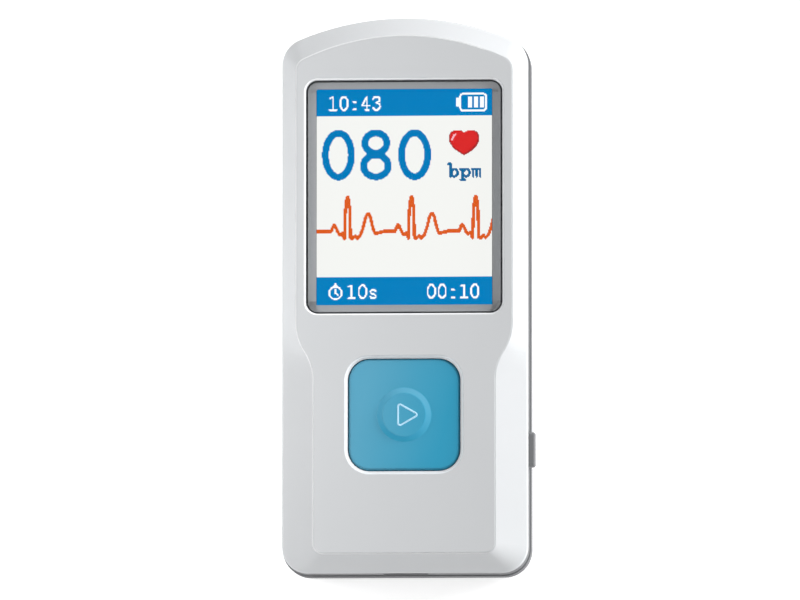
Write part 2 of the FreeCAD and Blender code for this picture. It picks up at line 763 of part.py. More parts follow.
def rear_cover():
    """The battery-side moulding, a step wider than the front: lip, columns, battery tray, electrode seats."""
    outer = new_body("rear_outer")
    skirt = body_outline(new_sketch(outer, "rear_outline", at="back_level"), "-rear_step")
    shell = pad(outer, skirt, "parting_level - back_level", "rear_wall")
    chamfer(outer, shell, "back_edge", "back_bevel", at_level("back_level"))
    lip = body_outline(new_sketch(outer, "lip_outline", at="parting_level"), "wall - lip_thickness")
    pad(outer, lip, "lip_height", "lip")
    seats = new_sketch(outer, "electrode_seats", at="0")
    for x, y, width, height in electrode_places():
        draw_rounded(seats, x, y, f"{width} + 2 * electrode_gap", f"{height} + 2 * electrode_gap",
                     "electrode_corner + electrode_gap")
    pocket(outer, seats, "electrode_thickness", "electrode_recesses")
    holes = new_sketch(outer, "stud_circles", at="0")
    for x, y, width, height in electrode_places():
        draw_circle(holes, x, y, "stud_radius + electrode_gap")
    pocket(outer, holes, "floor_level", "stud_holes")
    passages = new_sketch(outer, "passage_circles", at="back_level")
    heads = new_sketch(outer, "counterbore_circles", at="0")
    for x in ("screw_x", "-screw_x"):
        for y in ("screw_top_y", "screw_bottom_y"):
            draw_circle(passages, x, y, "passage_radius")
            draw_circle(heads, x, y, "counterbore_radius")
    pocket(outer, passages, "parting_level + lip_height", "passages")
    pocket(outer, heads, "case_screw_seat", "counterbores")

    core = new_body("rear_core")
    inside = body_outline(new_sketch(core, "hollow_outline", at="floor_level"), "wall")
    pad(core, inside, "parting_level + 2 * lip_height - floor_level", "hollow")
    columns = new_sketch(core, "column_circles", at="floor_level")
    for x in ("screw_x", "-screw_x"):
        for y in ("screw_top_y", "screw_bottom_y"):
            draw_circle(columns, x, y, "column_radius")
    pocket(core, columns, "parting_level - floor_level", "columns")
    tray = new_sketch(core, "tray_outline", at="floor_level")
    outside = "battery_width / 2 + tray_gap + tray_rib"
    inside_x = "battery_width / 2 + tray_gap"
    high = "battery_length / 2 + tray_gap + tray_rib"
    inside_y = "battery_length / 2 + tray_gap"
    for side in ("", "-"):
        for end in ("", "-"):
            corners = [
                (outside, high), (f"{outside} - tray_corner", high), (f"{outside} - tray_corner", inside_y),
                (inside_x, inside_y), (inside_x, f"{high} - tray_corner"), (outside, f"{high} - tray_corner"),
            ]
            draw_polygon(tray, [(f"{side}({x})", f"battery_y + {end}({y})") for x, y in corners])
    pocket(core, tray, "tray_height", "tray")
    return finish(cut("rear_cover", outer, core), "rear_cover")


# --- Display --------------------------------------------------------------------------

def plate(name, sketch_of, level, thickness):
    """A flat piece: one outline padded by a thickness."""
    body = new_body(name)
    sketch = sketch_of(new_sketch(body, f"{name}_outline", at=level))
    pad(body, sketch, thickness, f"{name}_pad")
    return finish(body, name)


def display_window():
    """The clear lens, with its upper edge eased."""
    body = new_body("display_window")
    sketch = draw_rounded(new_sketch(body, "lens_outline", at="window_level"), "0", "window_y",
                          "window_width - 2 * window_gap", "window_height - 2 * window_gap",
                          "window_corner_radius")
    lens = pad(body, sketch, "window_thickness", "lens")
    chamfer(body, lens, "lens_edge", "window_gap",
            at_level("window_level + window_thickness"))
    return finish(body, "display_window")


def window_tape():
    """The grey adhesive frame behind the lens, which borders the picture."""
    def outline(sketch):
        draw_rounded(sketch, "0", "window_y", "window_width - 4 * window_gap",
                     "window_height - 4 * window_gap", "window_corner_radius")
        return draw_rectangle(sketch, "-view_width / 2", "view_bottom_y", "view_width / 2", "view_top_y")
    return plate("window_tape", outline, "seat_level", "window_tape_thickness")


def lcd_gasket():
    """The foam frame between the display glass and the window ledge."""
    def outline(sketch):
        draw_rectangle(sketch, "-view_width / 2 - gasket_width - window_gap",
                       "view_bottom_y - gasket_width - window_gap",
                       "view_width / 2 + gasket_width + window_gap",
                       "view_top_y + gasket_width + window_gap")
        return draw_rectangle(sketch, "-view_width / 2 - window_gap", "view_bottom_y - window_gap",
                              "view_width / 2 + window_gap", "view_top_y + window_gap")
    return plate("lcd_gasket", outline, "gasket_level", "gasket_thickness")


def lcd_panel():
    """The display glass, with the ledge that its flexible tail is bonded to."""
    def outline(sketch):
        return draw_rectangle(sketch, "-glass_half_width", "glass_bottom_y", "glass_half_width",
                              "glass_top_y")
    return plate("lcd_panel", outline, "glass_level", "glass_thickness")


def lcd_backlight():
    """The light guide's moulded frame behind the glass."""
    def outline(sketch):
        return draw_rounded(sketch, "0", "(glass_top_y + backlight_bottom_y) / 2", "2 * backlight_half_width",
                            "glass_top_y - backlight_bottom_y", "backlight_side_inset")
    return plate("lcd_backlight", outline, "backlight_level", "backlight_thickness")


def lcd_foam_pad():
    """The adhesive foam that holds the display module to the board."""
    def outline(sketch):
        return draw_rectangle(sketch, "foam_inset - backlight_half_width", "backlight_bottom_y + foam_inset",
                              "backlight_half_width - foam_inset", "glass_top_y - foam_inset")
    return plate("lcd_foam_pad", outline, "board_top_level", "foam_thickness")


def lcd_flex():
    """The flexible tail: from below the glass ledge, down in an S to its solder pads on the board."""
    body = new_body("lcd_flex")
    path = new_sketch(body, "flex_path", "YZ_Plane", "0")
    start_y = "backlight_bottom_y - flex_bend_radius / 4"
    bend_y = "glass_bottom_y - flex_bend_radius / 4"
    top = "glass_level - flex_thickness / 2"
    low = "board_top_level + flex_thickness / 2"
    drop = f"(({top}) - ({low}))"
    reach = f"({drop} - 2 * flex_bend_radius)"
    radius = value("flex_bend_radius")
    y_start, y_bend = value(start_y), value(bend_y)
    y_down = y_bend - radius
    y_land = y_down - radius
    z_top, z_low = value(top), value(low)
    turn = radius * (1 - 0.5 ** 0.5)
    spots = [
        point(y_start, z_top), point(y_bend, z_top), point(y_down + turn, z_top - turn),
        point(y_down, z_top - radius), point(y_down, z_low + radius),
        point(y_down - turn, z_low + turn), point(y_land, z_low), point(y_land - value("flex_tail"), z_low),
    ]
    path.addGeometry([
        Part.LineSegment(spots[0], spots[1]),
        arc_through(spots[1], spots[2], spots[3]),
        Part.LineSegment(spots[3], spots[4]),
        arc_through(spots[4], spots[5], spots[6]),
        Part.LineSegment(spots[6], spots[7]),
    ], False)

    def end_at(geometry, spot):
        return 1 if (path.getPoint(geometry, 1) - spot).Length < 1e-4 else 2

    rules = [("Tangent", (one, end_at(one, spots[two]), one + 1, end_at(one + 1, spots[two])), None)
             for one, two in enumerate((1, 3, 4, 6))]
    rules += [
        ("Horizontal", (0,), None),
        ("Vertical", (2,), None),
        ("Equal", (1, 3), None),
        ("Radius", (1,), "flex_bend_radius"),
        ("DistanceX", (-1, 1, 0, 1), start_y),
        ("DistanceY", (-1, 1, 0, 1), top),
        ("DistanceX", (-1, 1, 0, 2), bend_y),
        ("DistanceX", (-1, 1, 4, 2), f"{bend_y} - 2 * flex_bend_radius - flex_tail"),
        ("DistanceY", (-1, 1, 4, 2), low),
    ]
    constrain(path, rules)
    strip = new_sketch(body, "flex_section", "XZ_Plane", start_y)
    draw_rectangle(strip, "-flex_width / 2", f"{top} - flex_thickness / 2",
                   "flex_width / 2", f"{top} + flex_thickness / 2")
    pipe = body.newObject("PartDesign::AdditivePipe", "flex_tail")
    pipe.Profile = strip
    pipe.Spine = (path, [""])
    return finish(body, "lcd_flex")


# --- Board and what it carries --------------------------------------------------------

def main_board():
    """The circuit board, stepped in at the lower end to pass between the screw bosses."""
    body = new_body("main_board")
    sketch = new_sketch(body, "board_outline", at="board_level")
    right = [
        ("board_tongue_half", "board_bottom_y"), ("board_tongue_half", "board_step_y"),
        ("board_half_width", "board_step_y"), ("board_half_width", "board_top_y"),
    ]
    left = [(f"-({x})", y) for x, y in reversed(right)]
    draw_polygon(sketch, right + left)
    for x in ("screw_x", "-screw_x"):
        for y in ("post_top_y", "post_bottom_y"):
            draw_circle(sketch, x, y, "passage_radius")
    board = pad(body, sketch, "board_thickness", "board")
    half, top, step = value("board_half_width"), value("board_top_y"), value("board_step_y")

    def at_wide_corner(spot):
        at_end = min(abs(spot.y - top), abs(spot.y - step)) < 1e-4
        return at_end and abs(abs(spot.x) - half) < 1e-4
    chamfer(body, board, "board_corners", "board_corner_chamfer", at_wide_corner)
    return finish(body, "main_board")


def chip(name, x, y, length, width, height):
    """A moulded component under the board, with its edges drawn in."""
    body = new_body(name)
    low = new_sketch(body, f"{name}_outline", at=f"board_level - ({height})")
    draw_rectangle(low, f"({x}) - ({length}) / 2", f"({y}) - ({width}) / 2",
                   f"({x}) + ({length}) / 2", f"({y}) + ({width}) / 2")
    block = pad(body, low, height, f"{name}_block")
    chamfer(body, block, f"{name}_edge", "chip_chamfer",
            at_level(f"board_level - ({height})"))
    return finish(body, name)


def board_passives():
    """Two rows of small resistors and capacitors under the board."""
    blocks = []
    for row in range(2):
        for column in range(6):
            blocks.append(box(
                f"passive_{row}_{column}",
                f"({column} - 2.5) * passive_pitch - passive_width / 2",
                f"post_bottom_y - {row} * passive_row_pitch - passive_length / 2",
                "board_level - passive_height", "passive_width", "passive_length", "passive_height"))
    group = document.addObject("Part::Compound", "board_passives")
    group.Links = blocks
    return finish(group, "board_passives")


def main_switch():
    """The switch below the main key: a square body and the round plunger that slides in it."""
    body = new_body("main_switch_body")
    square = draw_rounded(new_sketch(body, "switch_outline", at="board_top_level"), "0", "key_y",
                          "switch_width", "switch_width", "switch_width / 12")
    pad(body, square, "switch_height", "switch_block")
    well = draw_circle(new_sketch(body, "well_circle",
                                  at="plunger_base_level - plunger_overtravel"),
                       "0", "key_y", "switch_plunger_radius + plunger_gap")
    pocket(body, well, "plunger_depth + plunger_overtravel", "well")
    finish(body, "main_switch_body")
    plunger = document.addObject("Part::Cylinder", "main_switch_plunger")
    bind(plunger, Radius="switch_plunger_radius", Height="plunger_level - plunger_base_level")
    finish(move(plunger, "0", "key_y", "plunger_base_level"), "main_switch_plunger")


def power_switch():
    """The side switch on the board's edge and the flat plunger that slides in it."""
    body = new_body("power_switch_body")
    block = draw_rectangle(new_sketch(body, "side_switch_outline", at="board_top_level"),
                           "power_switch_x - power_switch_depth", "power_y - power_switch_length / 2",
                           "power_switch_x", "power_y + power_switch_length / 2")
    pad(body, block, "power_switch_height", "side_switch_block")
    well = new_sketch(body, "side_well_outline", "YZ_Plane",
                      "power_switch_x - plunger_depth - plunger_overtravel")
    draw_rectangle(well, "power_y - power_plunger_length / 2 - plunger_gap",
                   "power_level - power_plunger_height / 2 - plunger_gap",
                   "power_y + power_plunger_length / 2 + plunger_gap",
                   "power_level + power_plunger_height / 2 + plunger_gap")
    pocket(body, well, "plunger_depth + plunger_overtravel", "side_well")
    finish(body, "power_switch_body")
    finish(box("power_switch_plunger", "power_switch_x - plunger_depth",
               "power_y - power_plunger_length / 2", "power_level - power_plunger_height / 2",
               "power_plunger_x - power_switch_x + plunger_depth", "power_plunger_length",
               "power_plunger_height"), "power_switch_plunger")


def usb_socket():
    """The charging socket: a folded shell with drawn-in lower corners, and its contact tongue."""
    body = new_body("usb_socket")
    low, high = "board_top_level", "board_top_level + socket_height"

    def section(sketch, inset):
        half = f"socket_width / 2 - {inset}"
        return draw_polygon(sketch, [
            (f"socket_taper - ({half})", f"{low} + {inset}"), (f"{half} - socket_taper", f"{low} + {inset}"),
            (half, f"{low} + socket_taper"), (half, f"{high} - {inset}"),
            (f"-({half})", f"{high} - {inset}"), (f"-({half})", f"{low} + socket_taper"),
        ])
    shell = section(new_sketch(body, "socket_section", "XZ_Plane", "mouth_y + socket_length"), "0")
    pad(body, shell, "socket_length", "socket_block")
    hollow = section(new_sketch(body, "socket_hollow", "XZ_Plane", "mouth_y + socket_length - socket_shell"),
                     "socket_shell")
    pocket(body, hollow, "socket_length", "socket_mouth")
    finish(body, "usb_socket")
    middle = "board_top_level + socket_height / 2"
    tongue = box("usb_tongue", "-tongue_width / 2", "mouth_y + socket_length - socket_shell - tongue_length",
                 middle, "tongue_width", "tongue_length", "tongue_thickness")
    finish(tongue, "usb_tongue")


# --- Keys -----------------------------------------------------------------------------

def main_key():
    """The square key: cap, retaining flange, raised thumb disc and the post over its switch."""
    body = new_body("main_key")
    flange = draw_rounded(new_sketch(body, "flange_outline", at="flange_level"), "0", "key_y",
                          "key_width + 2 * key_flange", "key_width + 2 * key_flange", "key_corner_radius")
    pad(body, flange, "key_flange_thickness", "flange")
    cap = draw_rounded(new_sketch(body, "cap_outline", at="ceiling_level"), "0", "key_y",
                       "key_width", "key_width", "key_corner_radius")
    block = pad(body, cap, "key_top_level - ceiling_level", "cap")
    chamfer(body, block, "cap_edge", "key_bevel", at_level("key_top_level"))
    post = draw_circle(new_sketch(body, "post_circle", at="plunger_level"), "0", "key_y", "key_post_radius")
    pad(body, post, "flange_level - plunger_level", "post")
    disc = new_sketch(body, "disc_profile", "XZ_Plane", "key_y")
    outer = "key_disc_radius + key_disc_slope"
    draw_polygon(disc, [("0", "key_top_level - key_bevel"), (outer, "key_top_level - key_bevel"),
                        (outer, "key_top_level"), ("key_disc_radius", "key_top_level + key_disc_height"),
                        ("0", "key_top_level + key_disc_height")])
    revolve(body, disc, "disc")
    return finish(body, "main_key")


def power_key():
    """The side key: a rounded bar through the wall, with a wider flange behind it."""
    body = new_body("power_key")
    flange = new_sketch(body, "wing_outline", "YZ_Plane", "power_plunger_x")
    draw_rounded(flange, "power_y", "power_level", "power_key_length + 2 * power_key_wing",
                 "power_key_thickness + 4 * power_key_gap", "power_key_thickness / 4")
    pad(body, flange, "power_key_flange_thickness", "wings")
    bar = new_sketch(body, "bar_outline", "YZ_Plane", "power_flange_x")
    draw_rounded(bar, "power_y", "power_level", "power_key_length", "power_key_thickness",
                 "power_key_thickness / 4")
    stick = pad(body, bar, "wall + power_key_stand", "bar")
    face_x = value("half_width + power_key_stand")
    chamfer(body, stick, "bar_edge", "power_key_bevel",
            lambda spot: abs(spot.x - face_x) < 1e-4)
    return finish(body, "power_key")


# --- Battery --------------------------------------------------------------------------

def battery():
    """The pouch cell: a rounded block, stepped down at the end where its leads leave."""
    body = new_body("battery")
    block = draw_rounded(new_sketch(body, "cell_section", "XZ_Plane", "battery_y + battery_length / 2"),
                         "0", "battery_level + battery_thickness / 2", "battery_width", "battery_thickness",
                         "battery_round")
    pad(body, block, "battery_length - battery_seal", "cell")
    seal = draw_rounded(new_sketch(body, "seal_section", "XZ_Plane",
                                   "battery_bottom_y + battery_seal"),
                        "0", "battery_level + battery_thickness * 3 / 4", "battery_width - 2 * battery_round",
                        "battery_thickness / 2", "battery_thickness / 8")
    pad(body, seal, "battery_seal", "seal")
    finish(body, "battery")
    tape = box("battery_tape", "battery_round - battery_width / 2", "battery_bottom_y + 2 * battery_seal",
               "floor_level", "battery_width - 2 * battery_round", "battery_length - 4 * battery_seal",
               "battery_tape_thickness")
    finish(tape, "battery_tape")


def battery_connection():
    """The header under the board, the plug in it and the pair of leads from the cell."""
    header = new_body("battery_header")
    low = "board_level - header_height"
    outline = draw_rectangle(new_sketch(header, "header_outline", at=low),
                             "-header_width / 2", "header_y - header_length / 2",
                             "header_width / 2", "header_y + header_length / 2")
    pad(header, outline, "header_height", "header_block")
    slot = draw_rectangle(new_sketch(header, "header_slot_outline", "XZ_Plane",
                                     "header_y + header_length / 2"),
                          "header_wall - header_width / 2", f"{low} + header_wall",
                          "header_width / 2 - header_wall", "board_level - header_wall")
    pocket(header, slot, "header_length - header_wall", "header_slot")
    finish(header, "battery_header")
    plug = box("battery_plug", "header_wall + plug_gap - header_width / 2",
               "header_y + header_length / 2 - plug_length", f"{low} + header_wall + plug_gap",
               "header_width - 2 * header_wall - 2 * plug_gap", "plug_length + header_distance / 4",
               "header_height - 2 * header_wall - 2 * plug_gap")
    finish(plug, "battery_plug")
    leads = new_body("battery_leads")
    circles = new_sketch(leads, "lead_circles", "XZ_Plane", "battery_bottom_y")
    for side in ("-", ""):
        draw_circle(circles, f"{side}lead_pitch / 2", "lead_level", "lead_radius")
    pad(leads, circles, "header_distance * 3 / 4", "lead_runs")
    finish(leads, "battery_leads")


# --- Electrodes -----------------------------------------------------------------------

def electrode_places():
    """Centre and size of each electrode plate on the back."""
    lower = ("lower_electrode_width", "lower_electrode_height")
    return [
        ("0", "upper_electrode_y", "upper_electrode_width", "upper_electrode_height"),
        ("-lower_electrode_x", "lower_electrode_y", *lower),
        ("lower_electrode_x", "lower_electrode_y", *lower),
    ]


def electrodes():
    """Three plates with eased edges, each with a threaded stud through the rear cover."""
    names = ("electrode_upper", "electrode_lower_left", "electrode_lower_right")
    for name, (x, y, width, height) in zip(names, electrode_places()):
        body = new_body(name)
        outline = draw_rounded(new_sketch(body, f"{name}_outline"), x, y, width, height, "electrode_corner")
        slab = pad(body, outline, "electrode_thickness", f"{name}_plate")
        chamfer(body, slab, f"{name}_edge", "electrode_bevel", at_level("0"))
        stud = draw_circle(new_sketch(body, f"{name}_stud_circle", at="electrode_thickness"), x, y,
                           "stud_radius")
        pad(body, stud, "stud_length", f"{name}_stud")
        finish(body, name)


def electrode_nuts():
    """A hexagon nut on each stud."""
    body = new_body("electrode_nuts")
    sketch = new_sketch(body, "nut_outlines", at="floor_level")
    for x, y, width, height in electrode_places():
        apothem = "nut_width / 2"
        long_ = "nut_width / sqrt(3)"
        corners = [(f"{x} + {long_}", y), (f"{x} + {long_} / 2", f"{y} + {apothem}"),
                   (f"{x} - {long_} / 2", f"{y} + {apothem}"), (f"{x} - {long_}", y),
                   (f"{x} - {long_} / 2", f"{y} - {apothem}"), (f"{x} + {long_} / 2", f"{y} - {apothem}")]
        draw_polygon(sketch, corners)
        draw_circle(sketch, x, y, "stud_radius + pilot_gap")
    pad(body, sketch, "nut_height", "nuts")
    return finish(body, "electrode_nuts")


def electrode_springs():
    """Leaf springs from the board down to the studs, one for each electrode."""
    leaves = []
    for index, (x, y, width, height) in enumerate(electrode_places()):
        body = new_body(f"spring_{index}")
        sketch = new_sketch(body, f"spring_profile_{index}", "YZ_Plane", x)
        low, high = "stud_level", "board_level"
        foot = f"{y} - spring_foot / 2"
        lean = f"{foot} - spring_lean"
        draw_polygon(sketch, [
            (f"{y} + spring_foot / 2", low), (f"{y} + spring_foot / 2", f"{low} + spring_thickness"),
            (foot, f"{low} + spring_thickness"), (lean, high), (f"{lean} - spring_pad", high),
            (f"{lean} - spring_pad", f"{high} - spring_thickness"),
            (f"{lean} - spring_thickness", f"{high} - spring_thickness"), (f"{foot} - spring_thickness", low),
        ])
        pad(body, sketch, "spring_width", f"leaf_{index}", both_ways=True)
        leaves.append(body)
    group = document.addObject("Part::Compound", "electrode_springs")
    group.Links = leaves
    return finish(group, "electrode_springs")


# --- Screws ---------------------------------------------------------------------------

def screw_group(name, seat, length, top_y, bottom_y):
    """Four pan-head screws whose heads bear upwards on a seat."""
    body = new_body(name)
    profile = new_sketch(body, f"{name}_profile", "XZ_Plane")
    tip = f"{seat} + {length}"
    draw_polygon(profile, [
        ("0", f"{seat} - screw_head_height"), ("screw_head_radius", f"{seat} - screw_head_height"),
        ("screw_head_radius", seat), ("screw_radius", seat), ("screw_radius", tip), ("0", tip),
    ])
    turned = revolve(body, profile, f"{name}_turned")
    grid(body, turned, f"{name}_grid", "2 * screw_x", f"{top_y} - ({bottom_y})")
    move(body, "-screw_x", bottom_y)
    return finish(body, name)


front_cover()
rear_cover()
display_window()
window_tape()
lcd_gasket()
lcd_panel()
lcd_backlight()
lcd_foam_pad()
lcd_flex()
main_board()
chip("processor_chip", "0", "key_y", "processor_width", "processor_width", "processor_height")
chip("ecg_amplifier_chip", "-chip_side_distance", "key_y + switch_width / 2", "amplifier_width",
     "amplifier_width", "amplifier_height")
chip("memory_chip", "chip_side_distance", "key_y + switch_width / 2", "memory_width", "memory_length",
     "memory_height")
chip("crystal", "0", "key_y - processor_width", "crystal_width", "crystal_length", "crystal_height")
board_passives()
main_switch()
power_switch()
usb_socket()
main_key()
power_key()
battery()
battery_connection()
electrodes()
electrode_nuts()
electrode_springs()
screw_group("case_screws", "case_screw_seat", "case_screw_length", "screw_top_y", "screw_bottom_y")
screw_group("board_screws", "board_level", "board_screw_length", "post_top_y", "post_bottom_y")

document.recompute()
for item in document.Objects:
    if "Invalid" in item.State or "Error" in item.State:
        raise RuntimeError(f"{item.Label} failed: {item.State}")
os.makedirs("parts", exist_ok=True)
for item in PARTS:
    if item.Shape.isNull() or not item.Shape.isValid() or not item.Shape.Solids:
        raise RuntimeError(f"{item.Label} has no valid solid")
    item.Shape.exportStep(os.path.join("parts", item.Label + ".step"))
print(len(PARTS), "sub-parts")
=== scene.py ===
"""Looks of a hand-held single-lead ECG monitor: camera, light, materials, display picture, small parts."""
import functools
import math

import bpy
import numpy as np
from mathutils import Matrix, Vector

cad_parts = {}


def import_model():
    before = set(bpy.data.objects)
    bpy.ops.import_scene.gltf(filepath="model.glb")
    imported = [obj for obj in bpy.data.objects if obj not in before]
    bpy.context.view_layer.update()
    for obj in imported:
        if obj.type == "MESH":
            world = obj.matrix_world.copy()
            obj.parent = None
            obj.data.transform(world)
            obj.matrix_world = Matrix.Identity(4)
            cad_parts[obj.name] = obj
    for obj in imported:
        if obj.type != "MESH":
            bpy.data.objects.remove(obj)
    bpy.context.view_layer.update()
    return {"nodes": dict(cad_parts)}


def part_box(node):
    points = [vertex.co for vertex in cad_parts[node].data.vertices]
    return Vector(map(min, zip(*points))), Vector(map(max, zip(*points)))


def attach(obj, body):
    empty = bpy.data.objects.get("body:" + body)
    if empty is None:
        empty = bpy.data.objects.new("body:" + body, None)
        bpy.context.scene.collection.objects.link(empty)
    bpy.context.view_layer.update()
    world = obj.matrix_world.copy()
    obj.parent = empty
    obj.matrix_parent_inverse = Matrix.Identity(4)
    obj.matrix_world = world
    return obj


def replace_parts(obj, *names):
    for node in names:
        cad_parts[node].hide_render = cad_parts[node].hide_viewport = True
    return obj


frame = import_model()
nodes = frame["nodes"]

MM = 0.001
bpy.context.scene.view_settings.view_transform = "Standard"


# --- Camera, light and floor ----------------------------------------------------------

CAMERA_AIM = (-0.79 * MM, -1.05 * MM, 13.6 * MM)
LEAN_RIGHT, LEAN_DOWN = math.radians(3.5), math.radians(5.1)
CAMERA_DISTANCE, VIEW_WIDTH = 2.0, 0.144
SENSOR_WIDTH = 36

# Azimuth and elevation in degrees, distance and side in metres, and the light that the lamp adds
LAMPS = {
    "key_right": (25, 14, 1.0, 0.5, 1.68),
    "near_left": (185, 25, 0.17, 0.10, 0.77),
    "over_left": (180, 65, 0.2, 0.1, 0.08),
    "top_end": (95, 12, 0.4, 0.2, 0.28),
    "low_end": (-75, 14, 1.0, 0.5, 0.57),
}
LAMPS_AIM = (0, 0, 0.01)
WORLD_LEVEL = 0.10
FLOOR_HALF, FLOOR_GLOW = 2.0, 0.62
WHITE = (1, 1, 1, 1)


def camera():
    """A long lens above the face. It leans a few degrees to +X and -Y, and +Y is up in the picture."""
    back = Vector((math.tan(LEAN_RIGHT), -math.tan(LEAN_DOWN), 1)).normalized()
    side = Vector((0, 1, 0)).cross(back).normalized()
    data = bpy.data.cameras.new("camera")
    data.sensor_width = SENSOR_WIDTH
    data.lens = SENSOR_WIDTH * CAMERA_DISTANCE / VIEW_WIDTH
    data.clip_end = 10
    thing = bpy.data.objects.new("camera", data)
    turn = Matrix((side, back.cross(side), back)).transposed().to_4x4()
    thing.matrix_world = Matrix.Translation(Vector(CAMERA_AIM) + back * CAMERA_DISTANCE) @ turn
    bpy.context.scene.collection.objects.link(thing)
    bpy.context.scene.camera = thing


def softbox(name, azimuth, elevation, distance, size, level):
    """A square area lamp aimed at the object; level is the light it adds on a surface that faces it.

    It is polarised, as for product pictures: its light leaves no glare on window and key.
    """
    a, e = math.radians(azimuth), math.radians(elevation)
    back = Vector((math.cos(e) * math.cos(a), math.cos(e) * math.sin(a), math.sin(e)))
    data = bpy.data.lights.new(name, "AREA")
    data.shape = "SQUARE"
    data.size = size
    data.energy = level * (math.pi * distance) ** 2
    lamp = bpy.data.objects.new(name, data)
    lamp.location = Vector(LAMPS_AIM) + back * distance
    lamp.rotation_euler = back.to_track_quat("Z", "Y").to_euler()
    lamp.visible_glossy = False
    bpy.context.scene.collection.objects.link(lamp)


def linear(text):
    """An sRGB hex colour as linear RGBA."""
    parts = [int(text[i:i + 2], 16) / 255 for i in (1, 3, 5)]
    return (*[p / 12.92 if p <= 0.04045 else ((p + 0.055) / 1.055) ** 2.4 for p in parts], 1.0)


def shaded(color, share):
    """A linear colour times a share, no lighter than white."""
    return [min(1.0, part * share) for part in color[:3]] + [1.0]


def add(tree, kind, inputs=(), out=0, **settings):
    """Add a node with its settings and links, and return one of its outputs.

    The inputs are values or other nodes' outputs, either by socket or in the sockets' order.
    """
    made = tree.nodes.new("ShaderNode" + kind)
    for key, setting in settings.items():
        setattr(made, key, setting)
    for key, value in inputs.items() if isinstance(inputs, dict) else enumerate(inputs):
        if isinstance(value, bpy.types.NodeSocket):
            tree.links.new(value, made.inputs[key])
        else:
            made.inputs[key].default_value = value
    return made.outputs[out] if made.outputs else None


def node_adder(owner):
    """Empty the node tree of a material or a world, and return the function that adds nodes to it."""
    owner.use_nodes = True
    owner.node_tree.nodes.clear()
    return functools.partial(add, owner.node_tree)


def new_material(name):
    """A material with an empty tree, and the function that adds its nodes."""
    made = bpy.data.materials.new(name)
    return made, node_adder(made)


def background_ray(node):
    """1 for rays that show the background: from the camera, in gloss and through glass."""
    path = node("LightPath").node.outputs
    seen = node("Math", (path["Is Camera Ray"], path["Is Glossy Ray"]), operation="MAXIMUM")
    return node("Math", (seen, path["Is Transmission Ray"]), operation="MAXIMUM")


def world():
    """A white surround to the eye that lights the object at a low level."""
    made = bpy.data.worlds.new("studio")
    bpy.context.scene.world = made
    node = node_adder(made)
    strength = node("MapRange", (background_ray(node), 0, 1, WORLD_LEVEL, 1.0))
    node("OutputWorld", (node("Background", {"Color": WHITE, "Strength": strength}),))


def floor():
    """A wide white sheet that shows white and keeps a soft contact shadow."""
    corners = [(x * FLOOR_HALF, y * FLOOR_HALF, 0) for x, y in ((-1, -1), (1, -1), (1, 1), (-1, 1))]
    mesh = bpy.data.meshes.new("floor")
    mesh.from_pydata(corners, [], [(0, 1, 2, 3)])
    sheet = bpy.data.objects.new("floor", mesh)
    bpy.context.scene.collection.objects.link(sheet)
    # Uncoated paper: matt, with pulp fibres that vary its white by a few parts in a hundred
    made, node = new_material("white_paper_sweep")
    place = node("TexCoord", out="Object")
    pulp = node("TexNoise", {"Vector": place, "Scale": 1 / (4 * MM), "Detail": 2.0})
    fibre = node("Mix", {0: pulp, 6: linear("#E4E4E4"), 7: linear("#EAEAEA")}, out=2, data_type="RGBA")
    paper = node("BsdfDiffuse", {"Color": fibre})
    lift = node("Math", (background_ray(node), FLOOR_GLOW), operation="MULTIPLY")
    glow = node("Emission", {"Color": WHITE, "Strength": lift})
    node("OutputMaterial", (node("AddShader", (paper, glow)),))
    mesh.materials.append(made)


camera()
for name, lamp_settings in LAMPS.items():
    softbox(name, *lamp_settings)
world()
floor()


# --- Materials ------------------------------------------------------------------------

DOT = 0.18 * MM
FLOW = 12 * MM
EDGE_SAMPLES = 6
GRAIN_LOW, GRAIN_HIGH = 0.3, 0.7


def plastic(name, color, roughness, grain, depth, mottle=0.03, edge=0.0, specular=0.5):
    """Moulded plastic: the mould's grain breaks up the gloss, and flow in the mould leaves faint patches."""
    made, node = new_material(name)
    base = linear(color)
    place = node("TexCoord", out="Object")
    flow = node("TexNoise", {"Vector": place, "Scale": 1 / FLOW, "Detail": 3.0})
    fine = node("TexNoise", {"Vector": place, "Scale": 1 / grain, "Detail": 2.0})
    bump = {"Strength": 1.0, "Distance": depth, "Height": fine}
    if edge:
        bump["Normal"] = node("Bevel", {"Radius": edge}, samples=EDGE_SAMPLES)
    patches = {0: flow, 6: shaded(base, 1 - mottle), 7: shaded(base, 1 + mottle)}
    node("OutputMaterial", (node("BsdfPrincipled", {
        "Base Color": node("Mix", patches, out=2, data_type="RGBA"),
        "Roughness": node("MapRange", (fine, GRAIN_LOW, GRAIN_HIGH, roughness - 0.05, roughness + 0.05)),
        "Specular IOR Level": specular,
        "Normal": node("Bump", bump)}),))
    return made


